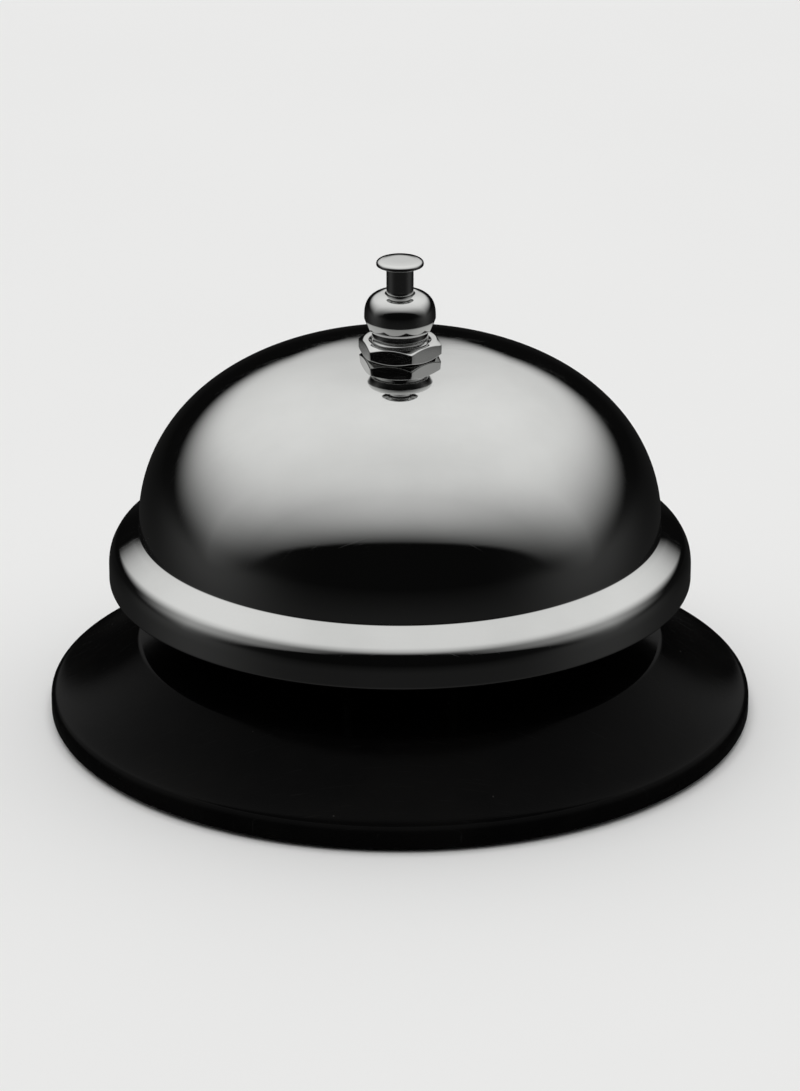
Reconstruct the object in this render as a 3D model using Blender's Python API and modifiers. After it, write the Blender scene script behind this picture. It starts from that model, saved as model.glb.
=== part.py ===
"""A desk service bell: enamelled base, chromed gong, push plunger and pivoted hammer.

Metres, +Z up. The origin is on the table, under the centre of the base. The front is -Y and
the hammer strikes the gong at +Y. Touching pieces keep a small gap, CLEARANCE.
"""
import math

import bmesh
import bpy
from mathutils import Matrix, Vector

MM = 0.001
CLEARANCE = 0.3 * MM        # between pieces that rest on each other
RUNNING = 0.08 * MM         # between a shaft and the bore that it moves in
ROUND_STEPS = 48            # sides of the large round pieces

# Base: a pressed steel dish with a low rim, a concave skirt and a flat top.
BASE_RADIUS = 42.86 * MM
BASE_SHEET = 0.8 * MM
RIM_BOTTOM_Z = 0.5 * MM
RIM_TOP_Z = 3.1 * MM
RIM_ROUND = 0.8 * MM
PLATEAU_RADIUS = 32.6 * MM
PLATEAU_Z = 9.6 * MM
PLATEAU_ROUND = 0.9 * MM
SKIRT_POWER = 1.3           # above 1, the skirt steepens towards the top
FOOT_WIDTH = 4.3 * MM
FOOT_HEIGHT = 2.1 * MM
FOOT_LIP = 2.0 * MM
COVER_THICKNESS = 1.0 * MM

# Gong: an upright band, a sloping shoulder, a sharp waist, and a dome with a flattened crown.
GONG_RADIUS = 35.45 * MM
GONG_SHEET = 0.9 * MM
GONG_BOTTOM_Z = 17.2 * MM
BAND_TOP = (GONG_RADIUS, 20.5 * MM)
SHOULDER_EDGE = (34.65 * MM, 22.0 * MM)
WAIST_RADIUS = 31.75 * MM
WAIST_Z = 23.95 * MM
DOME_BASE_Z = 24.6 * MM
DOME_TOP_Z = 46.25 * MM
CROWN_DROP = 0.30 * MM
CROWN_FLAT = 5.0 * MM       # radius that is pressed flat, for the nut
CROWN_EDGE = 13.0 * MM      # radius where the dome's own curve begins
GONG_TOP_Z = DOME_TOP_Z - CROWN_DROP

# Fasteners on top of the gong.
POST_RADIUS = 3.4 * MM
GONG_NUT_ACROSS_FLATS = 9.0 * MM
GONG_NUT_HEIGHT = 1.6 * MM
GONG_NUT_TURN = math.radians(15.7)      # from one corner at the front, towards +X
CAP_RADIUS = 4.3 * MM
CAP_BOTTOM_Z = 49.1 * MM
CAP_TOP_Z = 53.7 * MM
CAP_WALL = 0.6 * MM
CAP_DOME = 3.0 * MM
CAP_LIP = 1.4 * MM          # height of the turned-in lower edge
CAP_TURN_IN = 0.45 * MM

# Plunger: a turned rod with a flat button.
BUTTON_RADIUS = 2.85 * MM
BUTTON_TOP_Z = 57.9 * MM
BUTTON_EDGE = 0.7 * MM
BUTTON_CROWN = 0.06 * MM
ROD_RADIUS = 1.63 * MM
TRAVEL = 3.2 * MM

# Mechanism bracket: a folded channel that stands on the base.
BRACKET_WIDTH = 14.0 * MM
BRACKET_SHEET = 1.0 * MM
BRACKET_FRONT_Y = -8.0 * MM
BRACKET_BACK_Y = 15.0 * MM
BRACKET_TOP_Z = 37.0 * MM
BRACKET_BEND = 1.4 * MM
BRACKET_FLANGE = 7.0 * MM
BRIDGE_END_Y = 8.0 * MM
EAR_CORNER_Z = 32.4 * MM
RIVET_X = 10.6 * MM
RIVET_YS = (-4.5 * MM, 11.0 * MM)
RIVET_RADIUS = 1.1 * MM
RIVET_HEAD_RADIUS = 2.0 * MM
RIVET_HEAD_HEIGHT = 0.9 * MM

# Hinge and hammer. The hammer's tail lies under the plunger, level with the hinge.
HINGE_Y = 11.0 * MM
HINGE_Z = 30.0 * MM
PIN_RADIUS = 1.0 * MM
KNUCKLE_RADIUS = 2.3 * MM
KNUCKLE_LENGTH = 10.6 * MM
HAMMER_SHEET = 1.2 * MM
HAMMER_WIDTH = 6.0 * MM
ARM_END_TRIM = 0.7 * MM     # off the rounded end past the head, which swings close to the base
TAIL_END_Y = -3.5 * MM
HEAD_RADIUS = 3.1 * MM
HEAD_SKIRT = 2.0 * MM
STRIKE_Z = 19.3 * MM
STRIKE_GAP = 0.4 * MM

# Return spring and its seat.
SPRING_RADIUS = 2.6 * MM
SPRING_WIRE = 0.6 * MM
SPRING_TURNS = 8
SPRING_END_PITCH = 0.85 * MM
SEAT_FLANGE_RADIUS = 3.6 * MM
SEAT_FLANGE_HEIGHT = 0.7 * MM
SEAT_BOSS_RADIUS = 1.7 * MM
SEAT_BOSS_HEIGHT = 3.0 * MM

# Centre post, its nut and its washers.
POST_TOP_Z = 52.2 * MM
POST_BODY_RADIUS = 4.8 * MM
POST_SEAT_RADIUS = 6.2 * MM
POST_SEAT_HEIGHT = 1.8 * MM
POST_SPIGOT_RADIUS = 2.9 * MM
WASHER_THICKNESS = 0.7 * MM
POST_NUT_ACROSS_FLATS = 8.0 * MM
POST_NUT_HEIGHT = 1.8 * MM
FIBRE_THICKNESS = 0.8 * MM
CLIP_THICKNESS = 0.6 * MM

GONG_SEAT_Z = GONG_TOP_Z - GONG_SHEET - CLEARANCE - FIBRE_THICKNESS - CLEARANCE
BRIDGE_UNDER_Z = BRACKET_TOP_Z - BRACKET_SHEET
POST_WASHER_Z = BRIDGE_UNDER_Z - CLEARANCE - WASHER_THICKNESS
POST_NUT_Z = POST_WASHER_Z - CLEARANCE - POST_NUT_HEIGHT
POST_BOTTOM_Z = POST_NUT_Z - CLEARANCE
PLUNGER_CLIP_Z = POST_BOTTOM_Z - CLEARANCE - CLIP_THICKNESS
PLUNGER_TIP_Z = HINGE_Z + CLEARANCE
SWING = TRAVEL / HINGE_Y                # radians, as the tail is HINGE_Y long
ARM_OFFSET = KNUCKLE_RADIUS - HAMMER_SHEET / 2
SPRING_BOTTOM_Z = PLATEAU_Z + CLEARANCE + SEAT_FLANGE_HEIGHT + CLEARANCE
SPRING_TOP_Z = HINGE_Z - HAMMER_SHEET - CLEARANCE
BASE_UNDER_Z = PLATEAU_Z - BASE_SHEET

PARTS = "service_bell"
CUTTERS = "service_bell_cutters"


def clear_scene():
    for old in list(bpy.data.objects):
        bpy.data.objects.remove(old, do_unlink=True)


def make_collection(name):
    collection = bpy.data.collections.new(name)
    bpy.context.scene.collection.children.link(collection)
    return collection


def make_look(name, colour, roughness, metallic):
    look = bpy.data.materials.new(name)
    look.use_nodes = True
    shader = look.node_tree.nodes["Principled BSDF"]
    shader.inputs["Base Color"].default_value = (*colour, 1.0)
    shader.inputs["Roughness"].default_value = roughness
    shader.inputs["Metallic"].default_value = metallic
    return look


def add_part(name, mesh, look):
    part = bpy.data.objects.new(name, mesh)
    bpy.data.collections[PARTS].objects.link(part)
    mesh.materials.append(look)
    return part


def add_cutter(name, mesh):
    cutter = bpy.data.objects.new(name, mesh)
    bpy.data.collections[CUTTERS].objects.link(cutter)
    cutter.hide_render = True
    cutter.display_type = "WIRE"
    return cutter


def combine(part, cutter, operation):
    modifier = part.modifiers.new(cutter.name, "BOOLEAN")
    modifier.operation = operation
    modifier.object = cutter


def arc(centre, radius, start, end, count):
    """Points on an arc in the plane of the profile, from one angle in degrees to another."""
    points = []
    for i in range(count + 1):
        angle = math.radians(start + (end - start) * i / count)
        points.append((centre[0] + radius * math.cos(angle), centre[1] + radius * math.sin(angle)))
    return points


def turned(name, profile, look, steps=24, closed=False):
    """Turn a profile of (radius, z) about Z. It runs down the outer side, top to bottom."""
    mesh = bpy.data.meshes.new(name)
    last = len(profile) - 1
    edges = [(i, i + 1) for i in range(last)]
    if closed:
        edges.append((last, 0))
    mesh.from_pydata([(radius, 0.0, z) for radius, z in profile], edges, [])
    part = add_part(name, mesh, look)
    screw = part.modifiers.new("turn", "SCREW")
    screw.steps = steps
    screw.render_steps = steps
    screw.use_merge_vertices = True
    screw.merge_threshold = 0.00001
    return part


def ring(name, inner, outer, bottom, top, look, steps=24):
    """A flat ring with square edges, such as a washer."""
    profile = [(inner, top), (outer, top), (outer, bottom), (inner, bottom)]
    return turned(name, profile, look, steps, closed=True)


def solidify(part, thickness):
    """Thicken an outer surface inwards."""
    shell = part.modifiers.new("sheet", "SOLIDIFY")
    shell.thickness = thickness
    shell.offset = -1.0
    shell.use_even_offset = True


def rod_mesh(name, radius, length, axis, centre, sides=24):
    """A cylinder about a centre, along an axis."""
    mesh = bpy.data.meshes.new(name)
    turn = Vector(axis).to_track_quat("Z", "Y").to_matrix().to_4x4()
    shape = bmesh.new()
    bmesh.ops.create_cone(shape, cap_ends=True, segments=sides, radius1=radius,
                          radius2=radius, depth=length, matrix=Matrix.Translation(centre) @ turn)
    shape.to_mesh(mesh)
    shape.free()
    return mesh


def box_mesh(name, low, high):
    mesh = bpy.data.meshes.new(name)
    size = Vector(high) - Vector(low)
    middle = (Vector(high) + Vector(low)) / 2
    shape = bmesh.new()
    bmesh.ops.create_cube(shape, size=1.0,
                          matrix=Matrix.Translation(middle) @ Matrix.Diagonal((*size, 1.0)))
    shape.to_mesh(mesh)
    shape.free()
    return mesh


def plate_mesh(name, outline, thickness):
    """A flat plate from an outline in XY, as thick as given and centred on z = 0."""
    curve = bpy.data.curves.new(name, "CURVE")
    curve.dimensions = "2D"
    curve.fill_mode = "BOTH"
    curve.extrude = thickness / 2
    spline = curve.splines.new("POLY")
    spline.points.add(len(outline) - 1)
    for point, (x, y) in zip(spline.points, outline):
        point.co = (x, y, 0.0, 1.0)
    spline.use_cyclic_u = True
    return curve_to_mesh(name, curve)


def curve_to_mesh(name, curve):
    """The closed mesh of a curve, with its caps welded on."""
    source = bpy.data.objects.new(name + "_curve", curve)
    bpy.context.scene.collection.objects.link(source)
    evaluated = source.evaluated_get(bpy.context.evaluated_depsgraph_get())
    mesh = bpy.data.meshes.new_from_object(evaluated)
    mesh.name = name
    shape = bmesh.new()
    shape.from_mesh(mesh)
    bmesh.ops.remove_doubles(shape, verts=shape.verts, dist=0.000001)
    bmesh.ops.recalc_face_normals(shape, faces=shape.faces)
    shape.to_mesh(mesh)
    shape.free()
    bpy.data.objects.remove(source, do_unlink=True)
    return mesh


def circumradius(across_flats):
    return across_flats / 2 / math.cos(math.pi / 6)


def hex_nut(name, across_flats, height, bore, bottom, turn, look):
    """A hexagon nut with its corners turned off at 30 degrees, one corner at an angle to -Y."""
    corner = circumradius(across_flats)
    mesh = rod_mesh(name, corner, height, (0, 0, 1), (0, 0, bottom + height / 2), sides=6)
    # The hexagon starts with a corner at +X or +Y, so it is turned by its own first corner.
    first = math.atan2(mesh.vertices[0].co.y, mesh.vertices[0].co.x)
    mesh.transform(Matrix.Rotation(-math.pi / 2 + turn - first, 4, "Z"))
    nut = add_part(name, mesh, look)
    chamfer = (corner - across_flats / 2) * math.tan(math.radians(30))
    top = bottom + height
    over = 0.2 * MM
    slope = over / math.tan(math.radians(30))
    profile = [(0.0, top + over),
               (across_flats / 2 - slope, top + over),
               (corner + slope, top - chamfer - over),
               (corner + slope, bottom + chamfer + over),
               (across_flats / 2 - slope, bottom - over),
               (0.0, bottom - over)]
    cone = turned(name + "_chamfer", profile, look)
    bpy.data.collections[PARTS].objects.unlink(cone)
    bpy.data.collections[CUTTERS].objects.link(cone)
    cone.hide_render = True
    cone.display_type = "WIRE"
    combine(nut, cone, "INTERSECT")
    hole = rod_mesh(name + "_bore", bore, height * 3, (0, 0, 1), (0, 0, bottom))
    combine(nut, add_cutter(name + "_bore", hole), "DIFFERENCE")
    return nut


def base_profile():
    """The base's outer surface, from the hole in its middle down to the rim's lower edge."""
    points = [(SEAT_BOSS_RADIUS - 0.2 * MM, PLATEAU_Z)]
    centre = (PLATEAU_RADIUS - PLATEAU_ROUND, PLATEAU_Z - PLATEAU_ROUND)
    points += arc(centre, PLATEAU_ROUND, 90, 50, 2)
    inner_radius, inner_z = points[-1]
    outer_radius = BASE_RADIUS - RIM_ROUND * 0.7
    count = 7
    for i in range(1, count):
        along = 1 - i / count
        radius = outer_radius - (outer_radius - inner_radius) * along
        points.append((radius, RIM_TOP_Z + (inner_z - RIM_TOP_Z) * along ** SKIRT_POWER))
    points += arc((BASE_RADIUS - RIM_ROUND, RIM_TOP_Z - RIM_ROUND), RIM_ROUND, 68, 0, 3)
    points.append((BASE_RADIUS, RIM_BOTTOM_Z))
    return points


def make_base(enamel, rubber, fibre):
    shell = turned("base_shell", base_profile(), enamel, steps=ROUND_STEPS)
    solidify(shell, BASE_SHEET)
    for number, (x, y) in enumerate(rivet_places(), start=1):
        name = f"rivet_hole_{number}"
        hole = rod_mesh(name, RIVET_RADIUS + CLEARANCE, 4 * MM, (0, 0, 1), (x, y, PLATEAU_Z))
        combine(shell, add_cutter(name, hole), "DIFFERENCE")

    outer = BASE_RADIUS - BASE_SHEET - CLEARANCE
    inner = outer - FOOT_WIDTH
    lip_height = 0.5 * MM
    turned("foot_ring",
           [(inner, FOOT_HEIGHT), (outer - 0.4 * MM, FOOT_HEIGHT), (outer, FOOT_HEIGHT - 0.4 * MM),
            (outer, 0.3 * MM), (outer - 0.3 * MM, 0.0), (inner - FOOT_LIP, 0.0),
            (inner - FOOT_LIP, lip_height), (inner, lip_height)],
           rubber, steps=ROUND_STEPS, closed=True)
    cover_z = lip_height + CLEARANCE
    turned("bottom_cover",
           [(0.0, cover_z + COVER_THICKNESS), (inner - CLEARANCE, cover_z + COVER_THICKNESS),
            (inner - CLEARANCE, cover_z), (0.0, cover_z)],
           fibre, steps=ROUND_STEPS)


def crown_drop(radius):
    """How far the crown is pressed down under the nut, below the dome's own curve."""
    share = min(max((CROWN_EDGE - radius) / (CROWN_EDGE - CROWN_FLAT), 0.0), 1.0)
    return CROWN_DROP * share * share * (3 - 2 * share)


def bend(before, corner, after, size, count):
    """Points that round a corner of a profile, from one side of it to the other."""
    corner = Vector(corner)
    start = corner + (Vector(before) - corner).normalized() * size
    end = corner + (Vector(after) - corner).normalized() * size
    points = []
    for i in range(count + 1):
        t = i / count
        points.append(tuple(start * (1 - t) ** 2 + corner * (2 * t * (1 - t)) + end * t ** 2))
    return points


def gong_profile():
    """The gong's outer surface, from its top hole down to its lower edge."""
    hole = POST_RADIUS + CLEARANCE
    points = []
    dome_steps = 11
    dome_height = DOME_TOP_Z - DOME_BASE_Z
    last = math.acos((hole / WAIST_RADIUS) ** (1 / 0.843))
    for i in range(dome_steps + 1):
        angle = last * (1 - i / dome_steps)
        radius = WAIST_RADIUS * math.cos(angle) ** 0.843
        height = dome_height * math.sin(angle) ** 0.974
        points.append((radius, DOME_BASE_Z + height - crown_drop(radius)))
    waist = (WAIST_RADIUS, WAIST_Z)
    bottom = (GONG_RADIUS, GONG_BOTTOM_Z)
    points.append(waist)
    points += bend(waist, SHOULDER_EDGE, BAND_TOP, 0.5 * MM, 2)
    points += bend(SHOULDER_EDGE, BAND_TOP, bottom, 1.1 * MM, 3)
    points.append(bottom)
    return points


def make_gong(chrome, fibre):
    gong = turned("gong", gong_profile(), chrome, steps=ROUND_STEPS)
    solidify(gong, GONG_SHEET)
    ring("gong_washer", POST_RADIUS + CLEARANCE, POST_SEAT_RADIUS, GONG_SEAT_Z + CLEARANCE,
         GONG_SEAT_Z + CLEARANCE + FIBRE_THICKNESS, fibre)
    hex_nut("gong_nut", GONG_NUT_ACROSS_FLATS, GONG_NUT_HEIGHT, POST_RADIUS + CLEARANCE,
            GONG_TOP_Z + CLEARANCE, GONG_NUT_TURN, chrome)


def make_cap(chrome):
    """A bullet-shaped cap: a domed top, a slightly full side and a turned-in lower edge."""
    hole = ROD_RADIUS + RUNNING * 2
    dome_base = CAP_TOP_Z - CAP_DOME
    inside = CAP_RADIUS - CAP_WALL
    ease = 0.12 * MM
    profile = [(hole, CAP_TOP_Z - ease), (hole + ease, CAP_TOP_Z)]
    steps = 7
    shoulder = CAP_RADIUS - hole - ease
    for i in range(1, steps + 1):
        angle = math.pi / 2 * i / steps
        profile.append((hole + ease + shoulder * math.sin(angle),
                        dome_base + CAP_DOME * math.cos(angle) ** 0.72))
    profile += [(CAP_RADIUS, CAP_BOTTOM_Z + CAP_LIP), (CAP_RADIUS - CAP_TURN_IN, CAP_BOTTOM_Z),
                (inside, CAP_BOTTOM_Z), (inside, POST_TOP_Z),
                (inside - 0.5 * MM, POST_TOP_Z + CLEARANCE), (hole, POST_TOP_Z + CLEARANCE)]
    turned("post_cap", profile, chrome, closed=True)


def make_post(chrome, zinc):
    bore = ROD_RADIUS + RUNNING
    thread = POST_RADIUS
    chamfer = 0.4 * MM
    seat_under = GONG_SEAT_Z - POST_SEAT_HEIGHT
    body_bottom = BRACKET_TOP_Z + CLEARANCE
    turned("center_post",
           [(bore, POST_TOP_Z), (thread - chamfer, POST_TOP_Z), (thread, POST_TOP_Z - chamfer),
            (thread, GONG_SEAT_Z), (POST_SEAT_RADIUS, GONG_SEAT_Z), (POST_SEAT_RADIUS, seat_under),
            (POST_BODY_RADIUS, seat_under - chamfer), (POST_BODY_RADIUS, body_bottom),
            (POST_SPIGOT_RADIUS, body_bottom), (POST_SPIGOT_RADIUS, POST_BOTTOM_Z),
            (bore, POST_BOTTOM_Z)],
           chrome, closed=True)
    hole = POST_SPIGOT_RADIUS + CLEARANCE
    ring("post_washer", hole, 5.4 * MM, POST_WASHER_Z, POST_WASHER_Z + WASHER_THICKNESS, zinc)
    hex_nut("post_nut", POST_NUT_ACROSS_FLATS, POST_NUT_HEIGHT, hole, POST_NUT_Z, 0.0, zinc)


def rivet_places():
    return [(side * RIVET_X, y) for side in (-1, 1) for y in RIVET_YS]


def bracket_section():
    """Half of the channel's outer outline in XZ, from the flange's tip to the bridge's middle."""
    foot_z = PLATEAU_Z + CLEARANCE + BRACKET_SHEET
    half = BRACKET_WIDTH / 2
    inner_bend = BRACKET_BEND - BRACKET_SHEET
    points = [(half + BRACKET_FLANGE, foot_z)]
    points += arc((half + inner_bend, foot_z + inner_bend), inner_bend, 270, 180, 3)
    points += arc((half - BRACKET_BEND, BRACKET_TOP_Z - BRACKET_BEND), BRACKET_BEND, 0, 90, 4)
    points.append((0.0, BRACKET_TOP_Z))
    return points


def make_bracket(zinc):
    section = bracket_section()
    mesh = bpy.data.meshes.new("mechanism_bracket")
    shape = bmesh.new()
    front = [shape.verts.new((x, BRACKET_FRONT_Y, z)) for x, z in section]
    edges = [shape.edges.new(pair) for pair in zip(front, front[1:])]
    made = bmesh.ops.extrude_edge_only(shape, edges=edges)
    back = [item for item in made["geom"] if isinstance(item, bmesh.types.BMVert)]
    bmesh.ops.translate(shape, verts=back, vec=(0, BRACKET_BACK_Y - BRACKET_FRONT_Y, 0))
    shape.to_mesh(mesh)
    shape.free()
    bracket = add_part("mechanism_bracket", mesh, zinc)
    mirror = bracket.modifiers.new("other_side", "MIRROR")
    mirror.merge_threshold = 0.00001
    shell = bracket.modifiers.new("sheet", "SOLIDIFY")
    shell.thickness = BRACKET_SHEET
    shell.use_even_offset = True
    shell.offset = outward_sign(mesh) * -1.0

    combine(bracket, ear_cutter(), "DIFFERENCE")
    hole = rod_mesh("post_hole", POST_SPIGOT_RADIUS + CLEARANCE, 6 * MM, (0, 0, 1),
                    (0, 0, BRACKET_TOP_Z))
    combine(bracket, add_cutter("post_hole", hole), "DIFFERENCE")
    ears = rod_mesh("pin_holes", PIN_RADIUS + RUNNING, BRACKET_WIDTH * 2, (1, 0, 0),
                    (0, HINGE_Y, HINGE_Z))
    combine(bracket, add_cutter("pin_holes", ears), "DIFFERENCE")
    for number, (x, y) in enumerate(rivet_places(), start=1):
        name = f"flange_hole_{number}"
        hole = rod_mesh(name, RIVET_RADIUS + CLEARANCE, 4 * MM, (0, 0, 1), (x, y, PLATEAU_Z))
        combine(bracket, add_cutter(name, hole), "DIFFERENCE")


def outward_sign(mesh):
    """+1 where the bridge's face points up, which is the outer side of the channel, else -1."""
    bridge = max(mesh.polygons, key=lambda face: face.center.z)
    return math.copysign(1.0, bridge.normal.z)


def ear_cutter():
    """What is cut off the channel to leave two ears round the hinge and a bridge over the post."""
    beyond = 5 * MM
    top = BRACKET_TOP_Z + beyond
    back = BRACKET_BACK_Y + beyond
    outline = [(BRIDGE_END_Y, top), (BRIDGE_END_Y, BRACKET_TOP_Z - 2.2 * MM)]
    outline += [(BRACKET_BACK_Y - 2.0 * MM, EAR_CORNER_Z + 0.8 * MM),
                (BRACKET_BACK_Y - 0.6 * MM, EAR_CORNER_Z),
                (BRACKET_BACK_Y, EAR_CORNER_Z - 1.6 * MM),
                (back, EAR_CORNER_Z - 1.6 * MM), (back, top)]
    mesh = plate_mesh("ear_cut", outline, BRACKET_WIDTH * 3)
    # The outline is drawn in XY, and stood up so that its X runs along Y and its Y along Z.
    mesh.transform(Matrix(((0, 0, 1, 0), (1, 0, 0, 0), (0, 1, 0, 0), (0, 0, 0, 1))))
    return add_cutter("ear_cut", mesh)


def make_rivets(steel):
    head_z = PLATEAU_Z + CLEARANCE + BRACKET_SHEET + CLEARANCE
    tail_z = BASE_UNDER_Z - CLEARANCE
    low = 0.6 * RIVET_HEAD_HEIGHT
    profile = [(0.0, head_z + RIVET_HEAD_HEIGHT),
               (0.55 * RIVET_HEAD_RADIUS, head_z + 0.8 * RIVET_HEAD_HEIGHT),
               (0.9 * RIVET_HEAD_RADIUS, head_z + 0.4 * RIVET_HEAD_HEIGHT),
               (RIVET_HEAD_RADIUS, head_z),
               (RIVET_RADIUS, head_z), (RIVET_RADIUS, tail_z), (0.85 * RIVET_HEAD_RADIUS, tail_z),
               (0.75 * RIVET_HEAD_RADIUS, tail_z - low), (0.0, tail_z - low)]
    for number, (x, y) in enumerate(rivet_places(), start=1):
        rivet = turned(f"bracket_rivet_{number}", profile, steel)
        rivet.location = (x, y, 0.0)


def make_hinge(steel):
    """The hinge pin, with a head at -X and a clip in a groove at +X."""
    half = BRACKET_WIDTH / 2 + CLEARANCE
    groove = PIN_RADIUS - 0.3 * MM
    slot = CLIP_THICKNESS + 0.1 * MM
    end = half + slot + 0.9 * MM
    head = half + 0.9 * MM
    profile = [(0.0, end), (PIN_RADIUS - 0.2 * MM, end), (PIN_RADIUS, end - 0.2 * MM),
               (PIN_RADIUS, half + slot), (groove, half + slot), (groove, half),
               (PIN_RADIUS, half), (PIN_RADIUS, -half), (1.9 * PIN_RADIUS, -half),
               (1.9 * PIN_RADIUS, -head + 0.2 * MM), (1.7 * PIN_RADIUS, -head), (0.0, -head)]
    pin = turned("hinge_pin", profile, steel)
    pin.location = (0.0, HINGE_Y, HINGE_Z)
    pin.rotation_euler = (0.0, math.pi / 2, 0.0)
    clip = add_part("hinge_clip", clip_mesh("hinge_clip", groove + 0.05 * MM, 2.3 * MM), steel)
    clip.location = (half + slot / 2, HINGE_Y, HINGE_Z)
    clip.rotation_euler = (0.0, math.pi / 2, 0.0)


def clip_mesh(name, inner, outer):
    """A flat open retaining clip, with its mouth towards -Y."""
    outer_half = math.degrees(math.asin(inner * 0.85 / outer))
    inner_half = math.degrees(math.asin(0.85))
    outline = arc((0, 0), outer, -90 + outer_half, 270 - outer_half, 30)
    outline += arc((0, 0), inner, 270 - inner_half, -90 + inner_half, 20)
    return plate_mesh(name, outline, CLIP_THICKNESS)


def make_plunger(chrome, steel):
    groove = ROD_RADIUS - 0.4 * MM
    groove_top = PLUNGER_CLIP_Z + CLIP_THICKNESS + 0.05 * MM
    groove_bottom = PLUNGER_CLIP_Z - 0.05 * MM
    under = BUTTON_TOP_Z - BUTTON_EDGE
    bevel = 0.12 * MM
    profile = [(0.0, BUTTON_TOP_Z), (0.5 * BUTTON_RADIUS, BUTTON_TOP_Z),
               (BUTTON_RADIUS - 2 * bevel, BUTTON_TOP_Z - BUTTON_CROWN),
               (BUTTON_RADIUS, BUTTON_TOP_Z - BUTTON_CROWN - 2 * bevel),
               (BUTTON_RADIUS, under + bevel),
               (BUTTON_RADIUS - bevel, under), (ROD_RADIUS + 0.3 * MM, under - 0.03 * MM),
               (ROD_RADIUS + 0.1 * MM, under - 0.12 * MM), (ROD_RADIUS, under - 0.3 * MM),
               (ROD_RADIUS, groove_top), (groove, groove_top), (groove, groove_bottom)]
    tip = ROD_RADIUS - 0.3 * MM
    profile += [(tip, groove_bottom)]
    height = groove_bottom - PLUNGER_TIP_Z
    steps = 6
    for i in range(1, steps + 1):
        angle = math.pi / 2 * i / steps
        profile.append((tip * math.cos(angle) if i < steps else 0.0,
                        PLUNGER_TIP_Z + height * (1 - math.sin(angle))))
    turned("plunger", profile, chrome)
    clip = add_part("plunger_clip", clip_mesh("plunger_clip", groove + 0.05 * MM, 3.4 * MM), steel)
    clip.location = (0.0, 0.0, PLUNGER_CLIP_Z + CLIP_THICKNESS / 2)


def hammer_frame():
    """The arm's place at rest: its length to the head, and its direction below the horizontal.

    The head's dome touches the gong, less STRIKE_GAP, when the hammer has turned by SWING.
    """
    strike_y = GONG_RADIUS - GONG_SHEET - STRIKE_GAP - HEAD_RADIUS
    reach = Vector((strike_y - HINGE_Y, STRIKE_Z - HINGE_Z))
    head_offset = HEAD_SKIRT + CLEARANCE + HAMMER_SHEET / 2 - ARM_OFFSET
    length = math.sqrt(reach.length_squared - head_offset ** 2)
    at_strike = math.atan2(-reach.y, reach.x) + math.atan2(head_offset, length)
    return length, at_strike + SWING


def hammer_matrix():
    """From the arm's own axes (X across, Y along the arm, Z towards the gong) to the bell's."""
    drop = hammer_frame()[1]
    along = Vector((0, math.cos(drop), -math.sin(drop)))
    strike = Vector((0, math.sin(drop), math.cos(drop)))
    axes = Matrix((Vector((1, 0, 0)), along, strike)).transposed().to_4x4()
    return Matrix.Translation((0, HINGE_Y, HINGE_Z)) @ axes


def make_hammer(zinc, brass, steel):
    length = hammer_frame()[0]
    place = hammer_matrix()
    half = HAMMER_WIDTH / 2
    knuckle = rod_mesh("hammer_arm", KNUCKLE_RADIUS, KNUCKLE_LENGTH, (1, 0, 0),
                       (0, HINGE_Y, HINGE_Z))
    arm = add_part("hammer_arm", knuckle, zinc)
    tail = box_mesh("hammer_tail", (-half, TAIL_END_Y, HINGE_Z - HAMMER_SHEET),
                    (half, HINGE_Y - 0.5 * MM, HINGE_Z))
    combine(arm, add_cutter("hammer_tail", tail), "UNION")
    outline = [(-half, 0.0), (half, 0.0)] + arc((0.0, length - ARM_END_TRIM), half, 0, 180, 12)
    strip = plate_mesh("hammer_strip", outline, HAMMER_SHEET)
    strip.transform(place @ Matrix.Translation((0, 0, -ARM_OFFSET)))
    combine(arm, add_cutter("hammer_strip", strip), "UNION")
    bore = rod_mesh("knuckle_bore", PIN_RADIUS + RUNNING, KNUCKLE_LENGTH * 2, (1, 0, 0),
                    (0, HINGE_Y, HINGE_Z))
    combine(arm, add_cutter("knuckle_bore", bore), "DIFFERENCE")
    hole_place = place @ Vector((0, length, -ARM_OFFSET))
    hole = rod_mesh("head_hole", RIVET_RADIUS + CLEARANCE, HAMMER_SHEET * 3,
                    place.col[2].to_3d(), hole_place)
    combine(arm, add_cutter("head_hole", hole), "DIFFERENCE")

    base = -ARM_OFFSET + HAMMER_SHEET / 2 + CLEARANCE
    steps = 8
    pocket = 1.6 * MM
    profile = []
    for i in range(steps + 1):
        angle = math.pi / 2 * i / steps
        radius = HEAD_RADIUS * math.sin(angle)
        profile.append((radius, base + HEAD_SKIRT + HEAD_RADIUS * math.cos(angle)))
    chamfer = 0.4 * MM
    profile += [(HEAD_RADIUS, base + chamfer), (HEAD_RADIUS - chamfer, base),
                (RIVET_RADIUS + CLEARANCE, base), (RIVET_RADIUS + CLEARANCE, base + pocket),
                (0.0, base + pocket)]
    head = turned("hammer_head", profile, brass)
    head.matrix_world = place @ Matrix.Translation((0, length, 0))

    back = -ARM_OFFSET - HAMMER_SHEET / 2 - CLEARANCE
    head_height = 0.7 * MM
    flat = 1.3 * MM
    rivet = turned("hammer_rivet",
                   [(0.0, base + pocket - CLEARANCE), (RIVET_RADIUS, base + pocket - CLEARANCE),
                    (RIVET_RADIUS, back), (RIVET_HEAD_RADIUS, back), (flat, back - head_height),
                    (0.0, back - head_height)],
                   steel)
    rivet.matrix_world = place @ Matrix.Translation((0, length, 0))


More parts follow.
